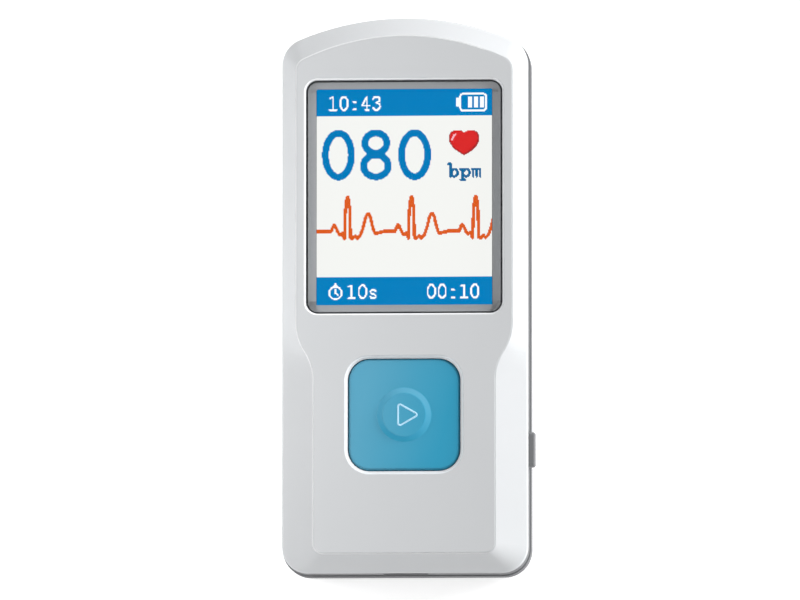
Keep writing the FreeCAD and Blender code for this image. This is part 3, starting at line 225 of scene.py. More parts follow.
def metal(name, color, roughness, grain, depth, stretch=(1, 1, 1), edge=0.0):
    """Drawn, rolled or brushed metal. Its lines and the clouding of its oxide make the gloss uneven."""
    made, node = new_material(name)
    base = linear(color)
    place = node("TexCoord", out="Object")
    drawn = node("Mapping", {"Vector": place, "Scale": [1 / share for share in stretch]})
    lines = node("TexNoise", {"Vector": drawn, "Scale": 1 / grain, "Detail": 3.0})
    cloud = node("TexNoise", {"Vector": place, "Scale": 1 / (6 * MM), "Detail": 2.0})
    doubled = node("Math", (lines, 2.0), operation="MULTIPLY")
    both = node("Math", (cloud, doubled), operation="ADD")
    bump = {"Strength": 1.0, "Distance": depth, "Height": lines}
    if edge:
        bump["Normal"] = node("Bevel", {"Radius": edge}, samples=EDGE_SAMPLES)
    tones = {0: node("MapRange", (both, 1.0, 2.0, 0, 1)), 6: shaded(base, 0.72), 7: base}
    node("OutputMaterial", (node("BsdfPrincipled", {
        "Base Color": node("Mix", tones, out=2, data_type="RGBA"), "Metallic": 1.0,
        "Roughness": node("MapRange", (lines, GRAIN_LOW, GRAIN_HIGH, roughness - 0.07, roughness + 0.09)),
        "Normal": node("Bump", bump)}),))
    return made


def glowing(name, color, level):
    """A lit liquid-crystal colour, under a fine screen of lines between rows and stripes of a third dot."""
    made, node = new_material(name)
    base = linear(color)
    x, y, _ = node("SeparateXYZ", (node("TexCoord", out="Object"),)).node.outputs
    rows = node("Math", (node("Math", (y, 1 / DOT), operation="MULTIPLY"), 0.5), operation="PINGPONG")
    stripes = node("Math", (node("Math", (x, 3 / DOT), operation="MULTIPLY"), 0.5), operation="PINGPONG")
    row_gap = node("MapRange", (rows, 0, 0.14, 0.94, 1.0))
    stripe_gap = node("MapRange", (stripes, 0, 0.2, -0.02, 0.0))
    grid = node("Math", (row_gap, stripe_gap), operation="ADD")
    lit = node("Mix", {0: grid, 6: shaded(base, 0.5), 7: base}, out=2, data_type="RGBA")
    node("OutputMaterial", (node("BsdfPrincipled", {
        "Base Color": shaded(base, 0.05), "Roughness": 0.8, "Specular IOR Level": 0.0,
        "Emission Color": lit, "Emission Strength": level}),))
    return made


def rounded_edge(node, x, y, outline):
    """Distance outwards from a rounded rectangle's edge, negative inside it.

    With a and b the distances past the rectangle of the corners' centres, it is
    sqrt(max(a, 0)2 + max(b, 0)2) + min(max(a, b), 0) - corner.
    """
    half_x, half_y, centre_y, corner = outline
    off_centre = node("Math", (y, centre_y), operation="SUBTRACT")
    across, along = (
        node("Math", (node("Math", (offset,), operation="ABSOLUTE"), half - corner), operation="SUBTRACT")
        for offset, half in ((x, half_x), (off_centre, half_y)))
    squares = []
    for past in (across, along):
        outside = node("Math", (past, 0.0), operation="MAXIMUM")
        squares.append(node("Math", (outside, outside), operation="MULTIPLY"))
    reach = node("Math", (node("Math", squares, operation="ADD"),), operation="SQRT")
    nearer = node("Math", (across, along), operation="MAXIMUM")
    inside = node("Math", (nearer, 0.0), operation="MINIMUM")
    return node("Math", (node("Math", (reach, inside), operation="ADD"), corner), operation="SUBTRACT")


def clear_lens(name, outline, rim, back_level):
    """Coated cast acrylic: clear, with gloss that grows edge on, and a dark band round the edge of its back
    that paints the shade of the gap between lens and seat.
    """
    made, node = new_material(name)
    soft = 0.04 * MM
    place = node("TexCoord", out="Object")
    x, y, z = node("SeparateXYZ", (place,)).node.outputs
    gloss = node("BsdfGlossy", {"Color": WHITE, "Roughness": 0.03})
    clear = node("BsdfTransparent", {"Color": (0.98, 0.985, 0.985, 1)})
    facing = node("LayerWeight", {"Blend": 0.5}, out="Facing")
    edge_on = node("Math", (facing, 5.0), operation="POWER")
    body = node("MixShader", (node("MapRange", (edge_on, 0, 1, 0.003, 0.6)), clear, gloss))
    specks = node("TexNoise", {"Vector": place, "Scale": 1 / (0.4 * MM), "Detail": 2.0})
    uneven = node("MapRange", (specks, 0, 1, 0.30, 0.45))
    # Dark band 0.26 mm wide round the back's edge: painted shade, for the shade in the gap round the lens
    painted_gap_shade = node("BsdfPrincipled", {"Base Color": linear("#3B3D40"), "Roughness": uneven})
    near = rounded_edge(node, x, y, outline)
    line = node("MapRange", (near, -rim - soft, -rim + soft, 0, 1))
    back = node("Math", (z, back_level + 0.05 * MM), operation="LESS_THAN")
    printed = node("Math", (line, back), operation="MULTIPLY")
    node("OutputMaterial", (node("MixShader", (printed, body, painted_gap_shade)),))
    return made


def sheen_painted_key(name, colors, reach, disc_slope, centre_y):
    """Moulded blue ABS with painted sheen: the blue is painted paler to the left and top, and a slow flow
    noise moves the sheen about.

    On the slope round the raised disc, between two radii, the shade is painted round: a painted highlight
    on its upper right and painted shade on its lower left.
    """
    made, node = new_material(name)
    soft = 0.1 * MM
    place = node("TexCoord", out="Object")
    x, y, _ = node("SeparateXYZ", (place,)).node.outputs
    y = node("Math", (y, centre_y), operation="SUBTRACT")
    flow = node("TexNoise", {"Vector": place, "Scale": 1 / (9 * MM), "Detail": 3.0})
    fine = node("TexNoise", {"Vector": place, "Scale": 1 / (0.20 * MM), "Detail": 2.0})
    # The painted sheen runs with x less a quarter of y, and the flow moves it by up to 1.5 mm either way
    slant = node("Math", (x, node("Math", (y, 0.25), operation="MULTIPLY")), operation="SUBTRACT")
    uneven = node("Math", (flow, 0.5), operation="SUBTRACT")
    wander = node("Math", (uneven, 3.0 * MM), operation="MULTIPLY")
    painted_light_and_flow = node("Math", (slant, wander), operation="ADD")
    squares = [node("Math", (part, part), operation="MULTIPLY") for part in (x, y)]
    away = node("Math", (node("Math", squares, operation="ADD"),), operation="SQRT")
    inner, outer = disc_slope
    past_inner = node("MapRange", (away, inner - soft, inner + soft, 0, 1))
    before_outer = node("MapRange", (away, outer - soft, outer + soft, 1.0, 0.0))
    slope = node("Math", (past_inner, before_outer), operation="MULTIPLY")
    # Painted highlight on the slope's upper right and painted shade on its lower left
    turned = [node("Math", (part, 1.6), operation="MULTIPLY") for part in (x, y)]
    facing = node("Math", turned, operation="ADD")
    painted_light_and_flow = node("Math", (painted_light_and_flow, node("Math", (slope, facing), operation="MULTIPLY")), operation="SUBTRACT")
    pale, deep = (linear(color) for color in colors)
    blend = {0: node("MapRange", (painted_light_and_flow, -reach, reach, 0, 1)), 6: pale, 7: deep}
    eased = node("Bevel", {"Radius": 0.18 * MM}, samples=EDGE_SAMPLES)
    bump = {"Strength": 1.0, "Distance": 0.002 * MM, "Height": fine, "Normal": eased}
    node("OutputMaterial", (node("BsdfPrincipled", {
        "Base Color": node("Mix", blend, out=2, data_type="RGBA"),
        "Roughness": node("MapRange", (fine, GRAIN_LOW, GRAIN_HIGH, 0.30, 0.36)),
        "Specular IOR Level": 0.3,
        "Normal": node("Bump", bump)}),))
    return made


PAINT_LINE = (11.30 * MM, 11.40 * MM)
LEDGE_LEVEL, LEDGE_HALF, LEDGE_FADE = 14.8 * MM, 0.03 * MM, (14 * MM, 16 * MM)
# Inner and outer distance from the edge, lowest level, the x where the painted highlight fades, and the tint
WINDOW_RIM = (0.02 * MM, 0.38 * MM, 14.6 * MM, (-17 * MM, 40 * MM), "#ECEDEE")
KEY_RIM = (0.12 * MM, 0.74 * MM, 14.3 * MM, (-9.5 * MM, -5 * MM), "#D9DBDD")


def painted_housing(name, window, key):
    """Moulded grey ABS with satin silver paint above the shoulder.

    The paint gives a pale even skin and leaves a band of bare grey below it. The chamfers round window and
    key carry painted highlights, and the ledge of the face is painted light where the step's shadow falls.
    """
    made, node = new_material(name)
    place = node("TexCoord", out="Object")
    x, y, level = node("SeparateXYZ", (place,)).node.outputs
    flow = node("TexNoise", {"Vector": place, "Scale": 1 / FLOW, "Detail": 3.0})
    fine = node("TexNoise", {"Vector": place, "Scale": 1 / (0.22 * MM), "Detail": 2.0})
    paint, bare = (
        node("Mix", {0: flow, 6: linear(dark), 7: linear(light)}, out=2, data_type="RGBA")
        for dark, light in (("#CED0D2", "#D1D3D5"), ("#7A7B7D", "#808183")))
    painted = node("MapRange", (level, *PAINT_LINE, 0, 1))
    colour = node("Mix", {0: painted, 6: bare, 7: paint}, out=2, data_type="RGBA")
    # Painted highlights on the chamfers round window and key: full towards -x and fading towards +x
    for outline, (inner, outer, lowest, fade, tint) in ((window, WINDOW_RIM), (key, KEY_RIM)):
        away = rounded_edge(node, x, y, outline)
        past_inner = node("Math", (away, inner), operation="GREATER_THAN")
        before_outer = node("Math", (away, outer), operation="LESS_THAN")
        band = node("Math", (past_inner, before_outer), operation="MULTIPLY")
        above = node("Math", (level, lowest), operation="GREATER_THAN")
        bright = node("Math", (band, above), operation="MULTIPLY")
        rim_highlight = node("Math", (bright, node("MapRange", (x, *fade, 1.0, 0.0))), operation="MULTIPLY")
        colour = node("Mix", {0: rim_highlight, 6: colour, 7: linear(tint)}, out=2, data_type="RGBA")
    # Painted light on the ledge under the face's step, where the step casts its shadow; it fades out between
    # x = 14 and 16 mm
    above_ledge = node("Math", (level, LEDGE_LEVEL), operation="SUBTRACT")
    off_ledge = node("Math", (above_ledge,), operation="ABSOLUTE")
    ledge = node("Math", (off_ledge, LEDGE_HALF), operation="LESS_THAN")
    ledge_light = node("Math", (ledge, node("MapRange", (x, *LEDGE_FADE, 0.9, 0.0))), operation="MULTIPLY")
    colour = node("Mix", {0: ledge_light, 6: colour, 7: linear("#F4F5F6")}, out=2, data_type="RGBA")
    spread = node("MapRange", (fine, GRAIN_LOW, GRAIN_HIGH, -0.04, 0.04))
    satin = node("MapRange", (painted, 0, 1, 0.7, 0.6))
    eased = node("Bevel", {"Radius": 0.14 * MM}, samples=EDGE_SAMPLES)
    bump = {"Strength": 1.0, "Distance": 0.004 * MM, "Height": fine, "Normal": eased}
    node("OutputMaterial", (node("BsdfPrincipled", {
        "Base Color": colour, "Roughness": node("Math", (satin, spread), operation="ADD"),
        "Specular IOR Level": 0.12,
        "Normal": node("Bump", bump)}),))
    return made


def printed_board(name):
    """Green solder mask over etched copper: the tracks show through it as paler raised lines."""
    made, node = new_material(name)
    track_pitch = 0.8 * MM
    place = node("TexCoord", out="Object")
    x = node("SeparateXYZ", (place,))
    bend = node("TexNoise", {"Vector": place, "Scale": 1 / (6 * MM), "Detail": 0.0})
    sway = node("Math", (bend, 4 * MM), operation="MULTIPLY")
    swayed = node("Math", (x, sway), operation="ADD")
    lanes = node("Math", (swayed, 1 / track_pitch), operation="MULTIPLY")
    lanes = node("Math", (lanes, 0.5), operation="PINGPONG")
    track = node("MapRange", (lanes, 0.30, 0.36, 0, 1))
    specks = node("TexNoise", {"Vector": place, "Scale": 1 / (0.3 * MM), "Detail": 2.0})
    between = node("Mix", {0: specks, 6: linear("#0B4A2E"), 7: linear("#0E5433")}, out=2, data_type="RGBA")
    mask = node("Mix", {0: track, 6: between, 7: linear("#1C7A4A")}, out=2, data_type="RGBA")
    node("OutputMaterial", (node("BsdfPrincipled", {
        "Base Color": mask, "Roughness": 0.3,
        "Normal": node("Bump", {"Strength": 1.0, "Distance": 0.02 * MM, "Height": track})}),))
    return made


def two_colours(name, colors, roughness):
    """A soft plastic in two colours, one on each side of x = 0, under a fine dull grain."""
    made, node = new_material(name)
    soft = 0.02 * MM
    place = node("TexCoord", out="Object")
    x = node("SeparateXYZ", (place,))
    left, right = (linear(color) for color in colors)
    side = {0: node("MapRange", (x, -soft, soft, 0, 1)), 6: left, 7: right}
    grain = node("TexNoise", {"Vector": place, "Scale": 1 / (0.2 * MM), "Detail": 2.0})
    dust = node("MapRange", (grain, GRAIN_LOW, GRAIN_HIGH, 0.0, 0.12))
    dulled = {0: dust, 6: node("Mix", side, out=2, data_type="RGBA"), 7: linear("#101010")}
    node("OutputMaterial", (node("BsdfPrincipled", {
        "Base Color": node("Mix", dulled, out=2, data_type="RGBA"), "Roughness": roughness,
        "Normal": node("Bump", {"Strength": 0.6, "Distance": 0.01 * MM, "Height": grain})}),))
    return made


# Rounded rectangles, each as half width, half height, centre in y and corner radius
lens_low, lens_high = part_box("display_window")
LENS = ((lens_high.x - lens_low.x) / 2, (lens_high.y - lens_low.y) / 2, (lens_high.y + lens_low.y) / 2,
        2.1 * MM)
key_low, key_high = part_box("main_key")
KEY = (10.0 * MM, 10.0 * MM, (key_high.y + key_low.y) / 2, 3.8 * MM)

silver_paint = painted_housing("satin_silver_paint_on_abs", LENS, KEY)
# ABS from a spark-eroded mould: matt mid grey, with a fine pebble and softened edges
grey_shell = plastic("moulded_grey_abs", "#7C7D7F", 0.68, 0.30 * MM, 0.014 * MM,
                     edge=0.3 * MM, specular=0.12)
# Blue moulded key: painted sheen makes it paler to the left and top, with painted highlight and shade on the
# disc's slope
DISC_SLOPE = (3.95 * MM, 4.85 * MM)
blue_key = sheen_painted_key("blue_moulded_key_with_painted_sheen", ("#59A4C1", "#329ABD"), 8.0 * MM, DISC_SLOPE, KEY[2])
# The same ABS in a lighter grey and a finer mould: a little smoother than the shell
grey_key = plastic("moulded_grey_side_key", "#868789", 0.62, 0.25 * MM, 0.008 * MM,
                   edge=0.2 * MM, specular=0.15)
# Printed polyester film with adhesive: flat grey, almost without grain
tape = plastic("grey_adhesive_frame", "#B0B1B4", 0.5, 0.15 * MM, 0.004 * MM, mottle=0.02)
# Closed-cell foam: dull black, pitted by its cells
foam = plastic("black_cell_foam", "#202022", 0.9, 0.25 * MM, 0.08 * MM, mottle=0.15, specular=0.2)
# Polished glass with a polariser film: near black and smooth
panel_glass = plastic("display_glass_with_polariser", "#24282C", 0.12, 2.0 * MM, 0.0005 * MM, mottle=0.05)
# White polycarbonate, moulded: bright and slightly glossy
light_guide = plastic("white_light_guide_frame", "#E6E6E2", 0.4, 0.3 * MM, 0.005 * MM)
# Polyimide film over copper: amber, one side a shade lighter
flex = two_colours("polyimide_flex", ("#A86A22", "#B9772A"), 0.35)
board = printed_board("solder_mask_board")
# Transfer-moulded epoxy: black with a fine sandy surface
epoxy = plastic("black_epoxy_chip", "#1C1C1E", 0.5, 0.12 * MM, 0.006 * MM, mottle=0.06)
# Nickel-plated drawn steel: bright and faintly clouded
can = metal("nickel_plated_can", "#C4C4C0", 0.25, 0.3 * MM, 0.002 * MM)
# Fired ceramic: dull brown and speckled
ceramic = plastic("brown_ceramic_chips", "#8C6E4E", 0.6, 0.1 * MM, 0.01 * MM, mottle=0.12)
# Glass-filled nylon, moulded: black with a slight sheen
switch_body = plastic("black_switch_body", "#1E1E20", 0.45, 0.15 * MM, 0.006 * MM)
# Acetal, moulded: ivory and waxy
switch_plunger = plastic("ivory_switch_plunger", "#D9D4C2", 0.4, 0.2 * MM, 0.004 * MM)
# Folded and nickel-plated steel strip: bright, with rolling lines along it
socket = metal("nickel_plated_socket_shell", "#B9BABD", 0.24, 0.15 * MM, 0.003 * MM, (1, 6, 1), 0.1 * MM)
# Liquid-crystal polymer, moulded: black and close-grained
tongue = plastic("black_socket_tongue", "#19191B", 0.45, 0.15 * MM, 0.004 * MM)
# Aluminium laminate, pressed round the cell: silvery, with soft dents
pouch = metal("aluminium_laminate_pouch", "#B4B7BA", 0.38, 0.8 * MM, 0.02 * MM)
# Undyed nylon, moulded: creamy white
header = plastic("natural_nylon_header", "#E6E2D6", 0.5, 0.2 * MM, 0.006 * MM)
# Extruded silicone sleeves: one black and one red, slightly dull
leads = two_colours("red_and_black_lead_sleeves", ("#151517", "#B01D1D"), 0.45)
# Stainless steel brushed along y: lines that catch the light, coarser than real ones so that they show
brushed_steel = metal("brushed_stainless_electrode", "#CBCCCE", 0.26, 0.25 * MM, 0.008 * MM,
                      (1, 60, 1), 0.15 * MM)
# Zinc plating on steel: pale blue-grey and a little uneven
zinc = metal("zinc_plated_steel", "#B9BCBC", 0.3, 0.2 * MM, 0.004 * MM, edge=0.08 * MM)
# Gold-plated bronze strip: warm yellow, with rolling lines
bronze = metal("gold_plated_spring_bronze", "#D2A85C", 0.28, 0.1 * MM, 0.002 * MM, (1, 12, 1))
acrylic = clear_lens("cast_acrylic_lens", LENS, 0.26 * MM, lens_low.z)

FINISHES = {
    silver_paint: ["front_cover"], grey_shell: ["rear_cover"], acrylic: ["display_window"],
    tape: ["window_tape", "battery_tape"], foam: ["lcd_gasket", "lcd_foam_pad"], panel_glass: ["lcd_panel"],
    light_guide: ["lcd_backlight"], flex: ["lcd_flex"], board: ["main_board"],
    epoxy: ["processor_chip", "ecg_amplifier_chip", "memory_chip"], can: ["crystal"],
    ceramic: ["board_passives"], switch_body: ["main_switch_body", "power_switch_body"],
    switch_plunger: ["main_switch_plunger", "power_switch_plunger"], socket: ["usb_socket"],
    tongue: ["usb_tongue"], blue_key: ["main_key"], grey_key: ["power_key"], pouch: ["battery"],
    header: ["battery_header", "battery_plug"], leads: ["battery_leads"],
    brushed_steel: ["electrode_upper", "electrode_lower_left", "electrode_lower_right"],
    zinc: ["electrode_nuts", "case_screws", "board_screws"], bronze: ["electrode_springs"],
}
for finish, names in FINISHES.items():
    for name in names:
        for material_slot in nodes[name].material_slots:
            material_slot.material = finish


# --- Meshes ---------------------------------------------------------------------------

def new_piece(name, points, faces, finishes, body, indices=None, smooth=True):
    """A mesh object at the origin, in metres, that rides on a body. A face is a list of point numbers."""
    mesh = bpy.data.meshes.new(name)
    mesh.from_pydata(np.reshape(points, (-1, 3)).tolist(), [], faces)
    for finish in finishes:
        mesh.materials.append(finish)
    if indices is not None:
        mesh.polygons.foreach_set("material_index", indices)
    mesh.polygons.foreach_set("use_smooth", [smooth] * len(mesh.polygons))
    mesh.update()
    piece = bpy.data.objects.new(name, mesh)
    bpy.context.scene.collection.objects.link(piece)
    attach(piece, body)
    return piece


def ring_faces(rows, columns, closed):
    """Quads of a grid whose columns run round.

    Its rows close on themselves, or each end is a fan on a point of its own.
    """
    row, column = np.meshgrid(np.arange(rows if closed else rows - 1), np.arange(columns), indexing="ij")
    here, below, after = row * columns, (row + 1) % rows * columns, (column + 1) % columns
    quads = np.stack([here + column, here + after, below + after, below + column], -1)
    quads = quads.reshape(-1, 4).tolist()
    if closed:
        return quads
    column, after, last = column[0], after[0], (rows - 1) * columns
    first_fan = np.stack([np.full(columns, rows * columns), after, column], -1).tolist()
    last_fan = np.stack([np.full(columns, rows * columns + 1), last + column, last + after], -1).tolist()
    return quads + first_fan + last_fan


def copied_faces(faces, size, count):
    """The faces of a form of so many points, for each of its copies in turn."""
    return [[corner + copy * size for corner in face] for copy in range(count) for face in faces]


# --- Display picture ------------------------------------------------------------------
# Places and sizes are in dots: columns from the left and rows from the top. The dots are a drawing grid,
# likely finer than a real panel's.

COLUMNS, ROWS = 176, 216
HIDDEN_ROWS = 2
PICTURE_LEFT, PICTURE_TOP = -15.93 * MM, 37.08 * MM + HIDDEN_ROWS * DOT
PICTURE_LIFT, PICTURE_GLOW = 0.02 * MM, 1.05
UPPER_BAR_END, LOWER_BAR_START = 26, 188
SIGN_PITCH, COLON_WEIGHT = 10.9, 1.3
TRACE_ROW, BEAT_PEAKS = 142.0, (31.2, 95.3, 159.7)

# Strokes of each sign on a cell one pitch wide and 15.4 dots high
SIGNS = {
    "0": [[(3.0, 1.2), (5.6, 1.2), (7.9, 4.4), (7.9, 10.9), (5.6, 14.2),
           (3.0, 14.2), (0.8, 10.9), (0.8, 4.4), (3.0, 1.2)]],
    "1": [[(1.3, 2.5), (4.3, 1.4), (4.3, 14.2)], [(1.0, 14.2), (7.6, 14.2)]],
    "3": [[(1.1, 3.4), (2.6, 1.2), (5.8, 1.2), (7.5, 3.1), (7.3, 5.4), (4.4, 7.2),
           (7.4, 8.8), (7.9, 11.6), (6.0, 14.2), (2.6, 14.2), (0.9, 12.2)]],
    "4": [[(5.6, 14.2), (5.6, 1.2), (0.7, 10.2), (8.2, 10.2)], [(3.8, 14.2), (7.6, 14.2)]],
    "s": [[(6.6, 7.6), (5.2, 6.0), (2.6, 6.0), (1.2, 7.8), (2.4, 9.6),
           (5.6, 10.6), (6.9, 12.4), (5.4, 14.2), (2.4, 14.2), (1.0, 12.6)]],
    ":": [[(3.5, 6.3), (4.9, 6.3)], [(3.5, 13.9), (4.9, 13.9)]],
}

# One beat round its peak: the P, Q, R, S and T waves as straight runs between turns
BEAT = [(-26, 0), (-16.4, 0), (-14.6, -5.2), (-13.6, -6.6), (-12.2, -4.8), (-9.6, 1.2), (-7.8, 3.4),
        (-5.6, 1.8), (-3.2, 7.0), (-2.3, -20), (-1.2, -31), (-0.3, -34.4), (0.3, -34.4), (1.2, -31),
        (2.2, -20), (2.9, 6.6), (4.6, 7.4), (7.6, 4.6), (9.8, 7.0), (12.8, 3.8), (15.4, -3.2),
        (18.0, -14.0), (19.6, -17.4), (21.4, -17.4), (22.8, -14.0), (25.2, -3.8), (27.0, 1.2),
        (28.8, 2.8), (31.0, 1.2), (34.6, 1.0), (36.8, 0)]

PALETTE = {
    "paper_white": "#F1F1EE", "bar_blue": "#007CBD", "digit_blue": "#0076B7", "unit_blue": "#126598",
    "sign_white": "#FCFEFF", "trace_orange": "#D9591F", "heart_red": "#D72626", "heart_shade": "#A02326",
    "heart_glint": "#F6B9C6",
}


def oval(x, y, half_x, half_y, start=0, end=360):
    """Points round an ellipse, with angles clockwise from the right as rows count down."""
    turn = np.radians(np.linspace(start, end, 40))
    return np.column_stack([x + half_x * np.cos(turn), y + half_y * np.sin(turn)])


def ink(grid, colour, path, width):
    """Fill the dots whose centres lie within half a width of a path."""
    path = np.asarray(path, float)
    cols, rows = np.meshgrid(np.arange(COLUMNS) + 0.5, np.arange(ROWS) + 0.5)
    nearest = np.full(cols.shape, np.inf)
    for start, end in zip(path[:-1], path[1:]):
        run = end - start
        along = ((cols - start[0]) * run[0] + (rows - start[1]) * run[1]) / max(run @ run, 1e-9)
        along = np.clip(along, 0, 1)
        off = np.hypot(cols - start[0] - along * run[0], rows - start[1] - along * run[1])
        nearest = np.minimum(nearest, off)
    grid[nearest <= width / 2] = colour


def number(grid, colour, text, left, top, width):
    """Signs side by side, one pitch apart, each a set of strokes."""
    for place, sign in enumerate(text):
        weight = width * (COLON_WEIGHT if sign == ":" else 1)
        for stroke in SIGNS[sign]:
            ink(grid, colour, np.asarray(stroke, float) + (left + place * SIGN_PITCH, top), weight)


def heart(grid, colour, x, y, half_x, half_y):
    """Fill the dots inside the curve (u2 + v2 - 1)3 = u2 v3."""
    cols, rows = np.meshgrid(np.arange(COLUMNS) + 0.5, np.arange(ROWS) + 0.5)
    u, v = (cols - x) / half_x * 1.14, (y - rows) / half_y * 1.1 + 0.12
    grid[(u ** 2 + v ** 2 - 1) ** 3 - u ** 2 * v ** 3 <= 0] = colour


def heartbeat():
    """Three beats on a level line."""
    beats = [np.asarray(BEAT) + (peak, TRACE_ROW) for peak in BEAT_PEAKS]
    return np.vstack([(-2, TRACE_ROW), *beats])


def display_picture():
    """The lit picture: bars with clock, timer and battery sign, the pulse rate, a heart and the trace.

    The mesh has one rectangle for each run of dots of one colour in a row.
    """
    paper, blue, digit, unit, white, orange, red, dark_red, pink = range(len(PALETTE))
    whole = np.full((ROWS + 2 * HIDDEN_ROWS, COLUMNS), paper)
    whole[:UPPER_BAR_END + HIDDEN_ROWS] = blue
    whole[LOWER_BAR_START + HIDDEN_ROWS:] = blue
    grid = whole[HIDDEN_ROWS:-HIDDEN_ROWS]
    # Upper bar: clock, and a battery sign with its case, cap and three cells
    number(grid, white, "10:43", 12.2, 5.4, 1.8)
    turn = oval(0, 0, 2.2, 2.2)
    quarters = ((167.6, 18.6, turn[:10]), (146.6, 18.6, turn[10:20]),
                (146.6, 6.6, turn[20:30]), (167.6, 6.6, turn[30:]))
    case = np.vstack([quarter + (x, y) for x, y, quarter in quarters])
    ink(grid, white, np.vstack([case, case[:1]]), 2.0)
    grid[8:17, 140:143] = white
    for left in (152, 158, 164):
        grid[7:18, left:left + 4] = white
    # Lower bar: stopwatch sign with its crown and hands, its time, and the timer
    ink(grid, white, oval(19.0, 203.9, 6.2, 6.2), 1.7)
    ink(grid, white, [(19.0, 196.5), (19.0, 195.7)], 3.0)
    ink(grid, white, [(19.0, 200.3), (19.0, 204.3), (21.6, 205.9)], 1.4)
    number(grid, white, "10s", 31.0, 195.0, 1.6)
    number(grid, white, "00:10", 110.8, 195.0, 1.8)
    # Pulse rate: two ovals and an eight of two more
    for x in (21.9, 98.4):
        ink(grid, digit, oval(x, 65.2, 13.1, 22.1), 6.9)
    ink(grid, digit, oval(59.5, 53.2, 11.0, 10.2), 6.9)
    ink(grid, digit, oval(59.5, 76.2, 12.4, 11.0), 6.9)
    # Heart, with its shade and glint
    heart(grid, dark_red, 148.1, 53.6, 15.4, 12.8)
    heart(grid, red, 147.7, 52.8, 14.0, 11.6)
    ink(grid, pink, oval(141.4, 50.2, 5.0, 5.4, 180, 245), 2.0)
    # Unit of the rate: b, p and m
    ink(grid, unit, [(132.4, 74.6), (134.6, 74.6), (134.6, 87.4)], 2.7)
    ink(grid, unit, oval(138.4, 83.7, 3.2, 3.6), 2.7)
    ink(grid, unit, [(144.2, 80.2), (146.6, 80.2), (146.6, 90.8), (144.6, 90.8), (148.8, 90.8)], 2.6)
    ink(grid, unit, oval(150.2, 83.7, 3.2, 3.6), 2.7)
    for x in (157.2, 160.7, 164.2):
        ink(grid, unit, [(x, 80.6), (x, 87.4)], 2.4)
    ink(grid, unit, [(155.8, 80.2), (163.0, 80.2)], 2.3)
    ink(grid, orange, heartbeat(), 3.3)

    rows, starts = np.nonzero(np.diff(whole, axis=1, prepend=-1))
    ends = np.append(starts[1:], 0)
    ends[ends == 0] = COLUMNS
    left, right = PICTURE_LEFT + starts * DOT, PICTURE_LEFT + ends * DOT
    high = PICTURE_TOP - rows * DOT
    low, level = high - DOT, np.full(len(rows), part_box("lcd_panel")[1].z + PICTURE_LIFT)
    corners = [(left, low, level), (right, low, level), (right, high, level), (left, high, level)]
    points = np.transpose(corners, (2, 0, 1))
    faces = np.arange(4 * len(rows)).reshape(-1, 4).tolist()
    lights = [glowing("lit_" + name, colour, PICTURE_GLOW) for name, colour in PALETTE.items()]
    colours = whole[rows, starts]
    new_piece("display_picture", points, faces, lights, "housing", colours, smooth=False)


display_picture()


# --- Sign on the key ------------------------------------------------------------------

SIGN_CORNERS = [(-1.06, 2.1), (-1.06, -2.14), (2.66, -0.03)]
SIGN_CORNER_RADIUS, SIGN_CORNER_POINTS = 0.36 * MM, 12
# Across the ribbon: distance outwards and height, in millimetres
SIGN_PROFILE = [(-0.17, -0.01), (-0.15, 0.02), (0, 0.03), (0.15, 0.02), (0.17, -0.01)]


def key_sign():
    """A printed triangle outline with round corners: a low crowned ribbon along a closed path.

    The path is an inner triangle pushed outwards by the corner radius. At each corner it turns from one
    side's outward direction to the next side's.
    """
    low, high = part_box("main_key")
    centre = np.array([(low.x + high.x) / 2, (low.y + high.y) / 2])
    corners = np.array(SIGN_CORNERS) * MM + centre
    side = np.roll(corners, -1, axis=0) - corners
    after = np.column_stack([side[:, 1], -side[:, 0]]) / np.hypot(*side.T)[:, None]
    before = np.roll(after, 1, axis=0)
    inner = corners - SIGN_CORNER_RADIUS * (before + after) / (1 + (before * after).sum(1))[:, None]
    start, end = np.arctan2(*before.T[::-1]), np.arctan2(*after.T[::-1])
    share = np.linspace(0, 1, SIGN_CORNER_POINTS)
    turn = start[:, None] + ((end - start) % (2 * np.pi))[:, None] * share
    away = np.stack([np.cos(turn), np.sin(turn)], -1)
    path = (inner[:, None] + SIGN_CORNER_RADIUS * away).reshape(-1, 2)
    away = away.reshape(-1, 2)
    across, up = np.array(SIGN_PROFILE).T * MM
    flat = path[:, None] + away[:, None] * across[:, None]
    level = np.broadcast_to(high.z + up, flat.shape[:2])
    points = np.concatenate([flat, level[..., None]], -1)
    # Pad-printed ink: an even pale blue that stands a hair proud
    pale = plastic("pale_blue_pad_print", "#B4E1F8", 0.45, 0.1 * MM, 0.002 * MM, mottle=0.02)
    new_piece("key_sign", points, ring_faces(*flat.shape[:2], closed=True), [pale], "main_key")


key_sign()


# --- Screws and socket contacts -------------------------------------------------------

HEAD_RADIUS, HEAD_HEIGHT, SHANK_RADIUS = 1.6 * MM, 1.1 * MM, 0.8 * MM
THREAD_PITCH, THREAD_DEPTH, TIP_LENGTH = 0.6 * MM, 0.16 * MM, 0.7 * MM
THREAD_START, TIP_MARGIN, THREAD_STEPS, TIP_SHARE = 0.1 * MM, 0.02 * MM, 6, 0.25
ARM_LENGTH, ARM_HALF_WIDTH = 0.95 * MM, 0.17 * MM
# Of the recess: shares of the cross's size, and heights as shares of the head's
RECESS = ((0.3, -0.47), (0.6, -0.50), (0.92, -0.82))
# Of the head's outline: radius and height as shares of the head's
HEAD_OUTLINE = ((0.66, -0.93), (0.78, -0.9), (0.88, -0.82), (0.95, -0.68), (0.99, -0.5), (1.0, -0.3),
                (1.0, -0.05), (0.97, 0.0), (0.56, 0.0))
SCREW_TURNS = (12, 57, 31, 74)
CONTACT_COUNT, CONTACT_PITCH, CONTACT_SQUARENESS = 5, 0.65 * MM, 0.35
CONTACT_HALF_SIZES, CONTACT_SHIFT = (0.17 * MM, 1.25 * MM, 0.04 * MM), 0.1 * MM


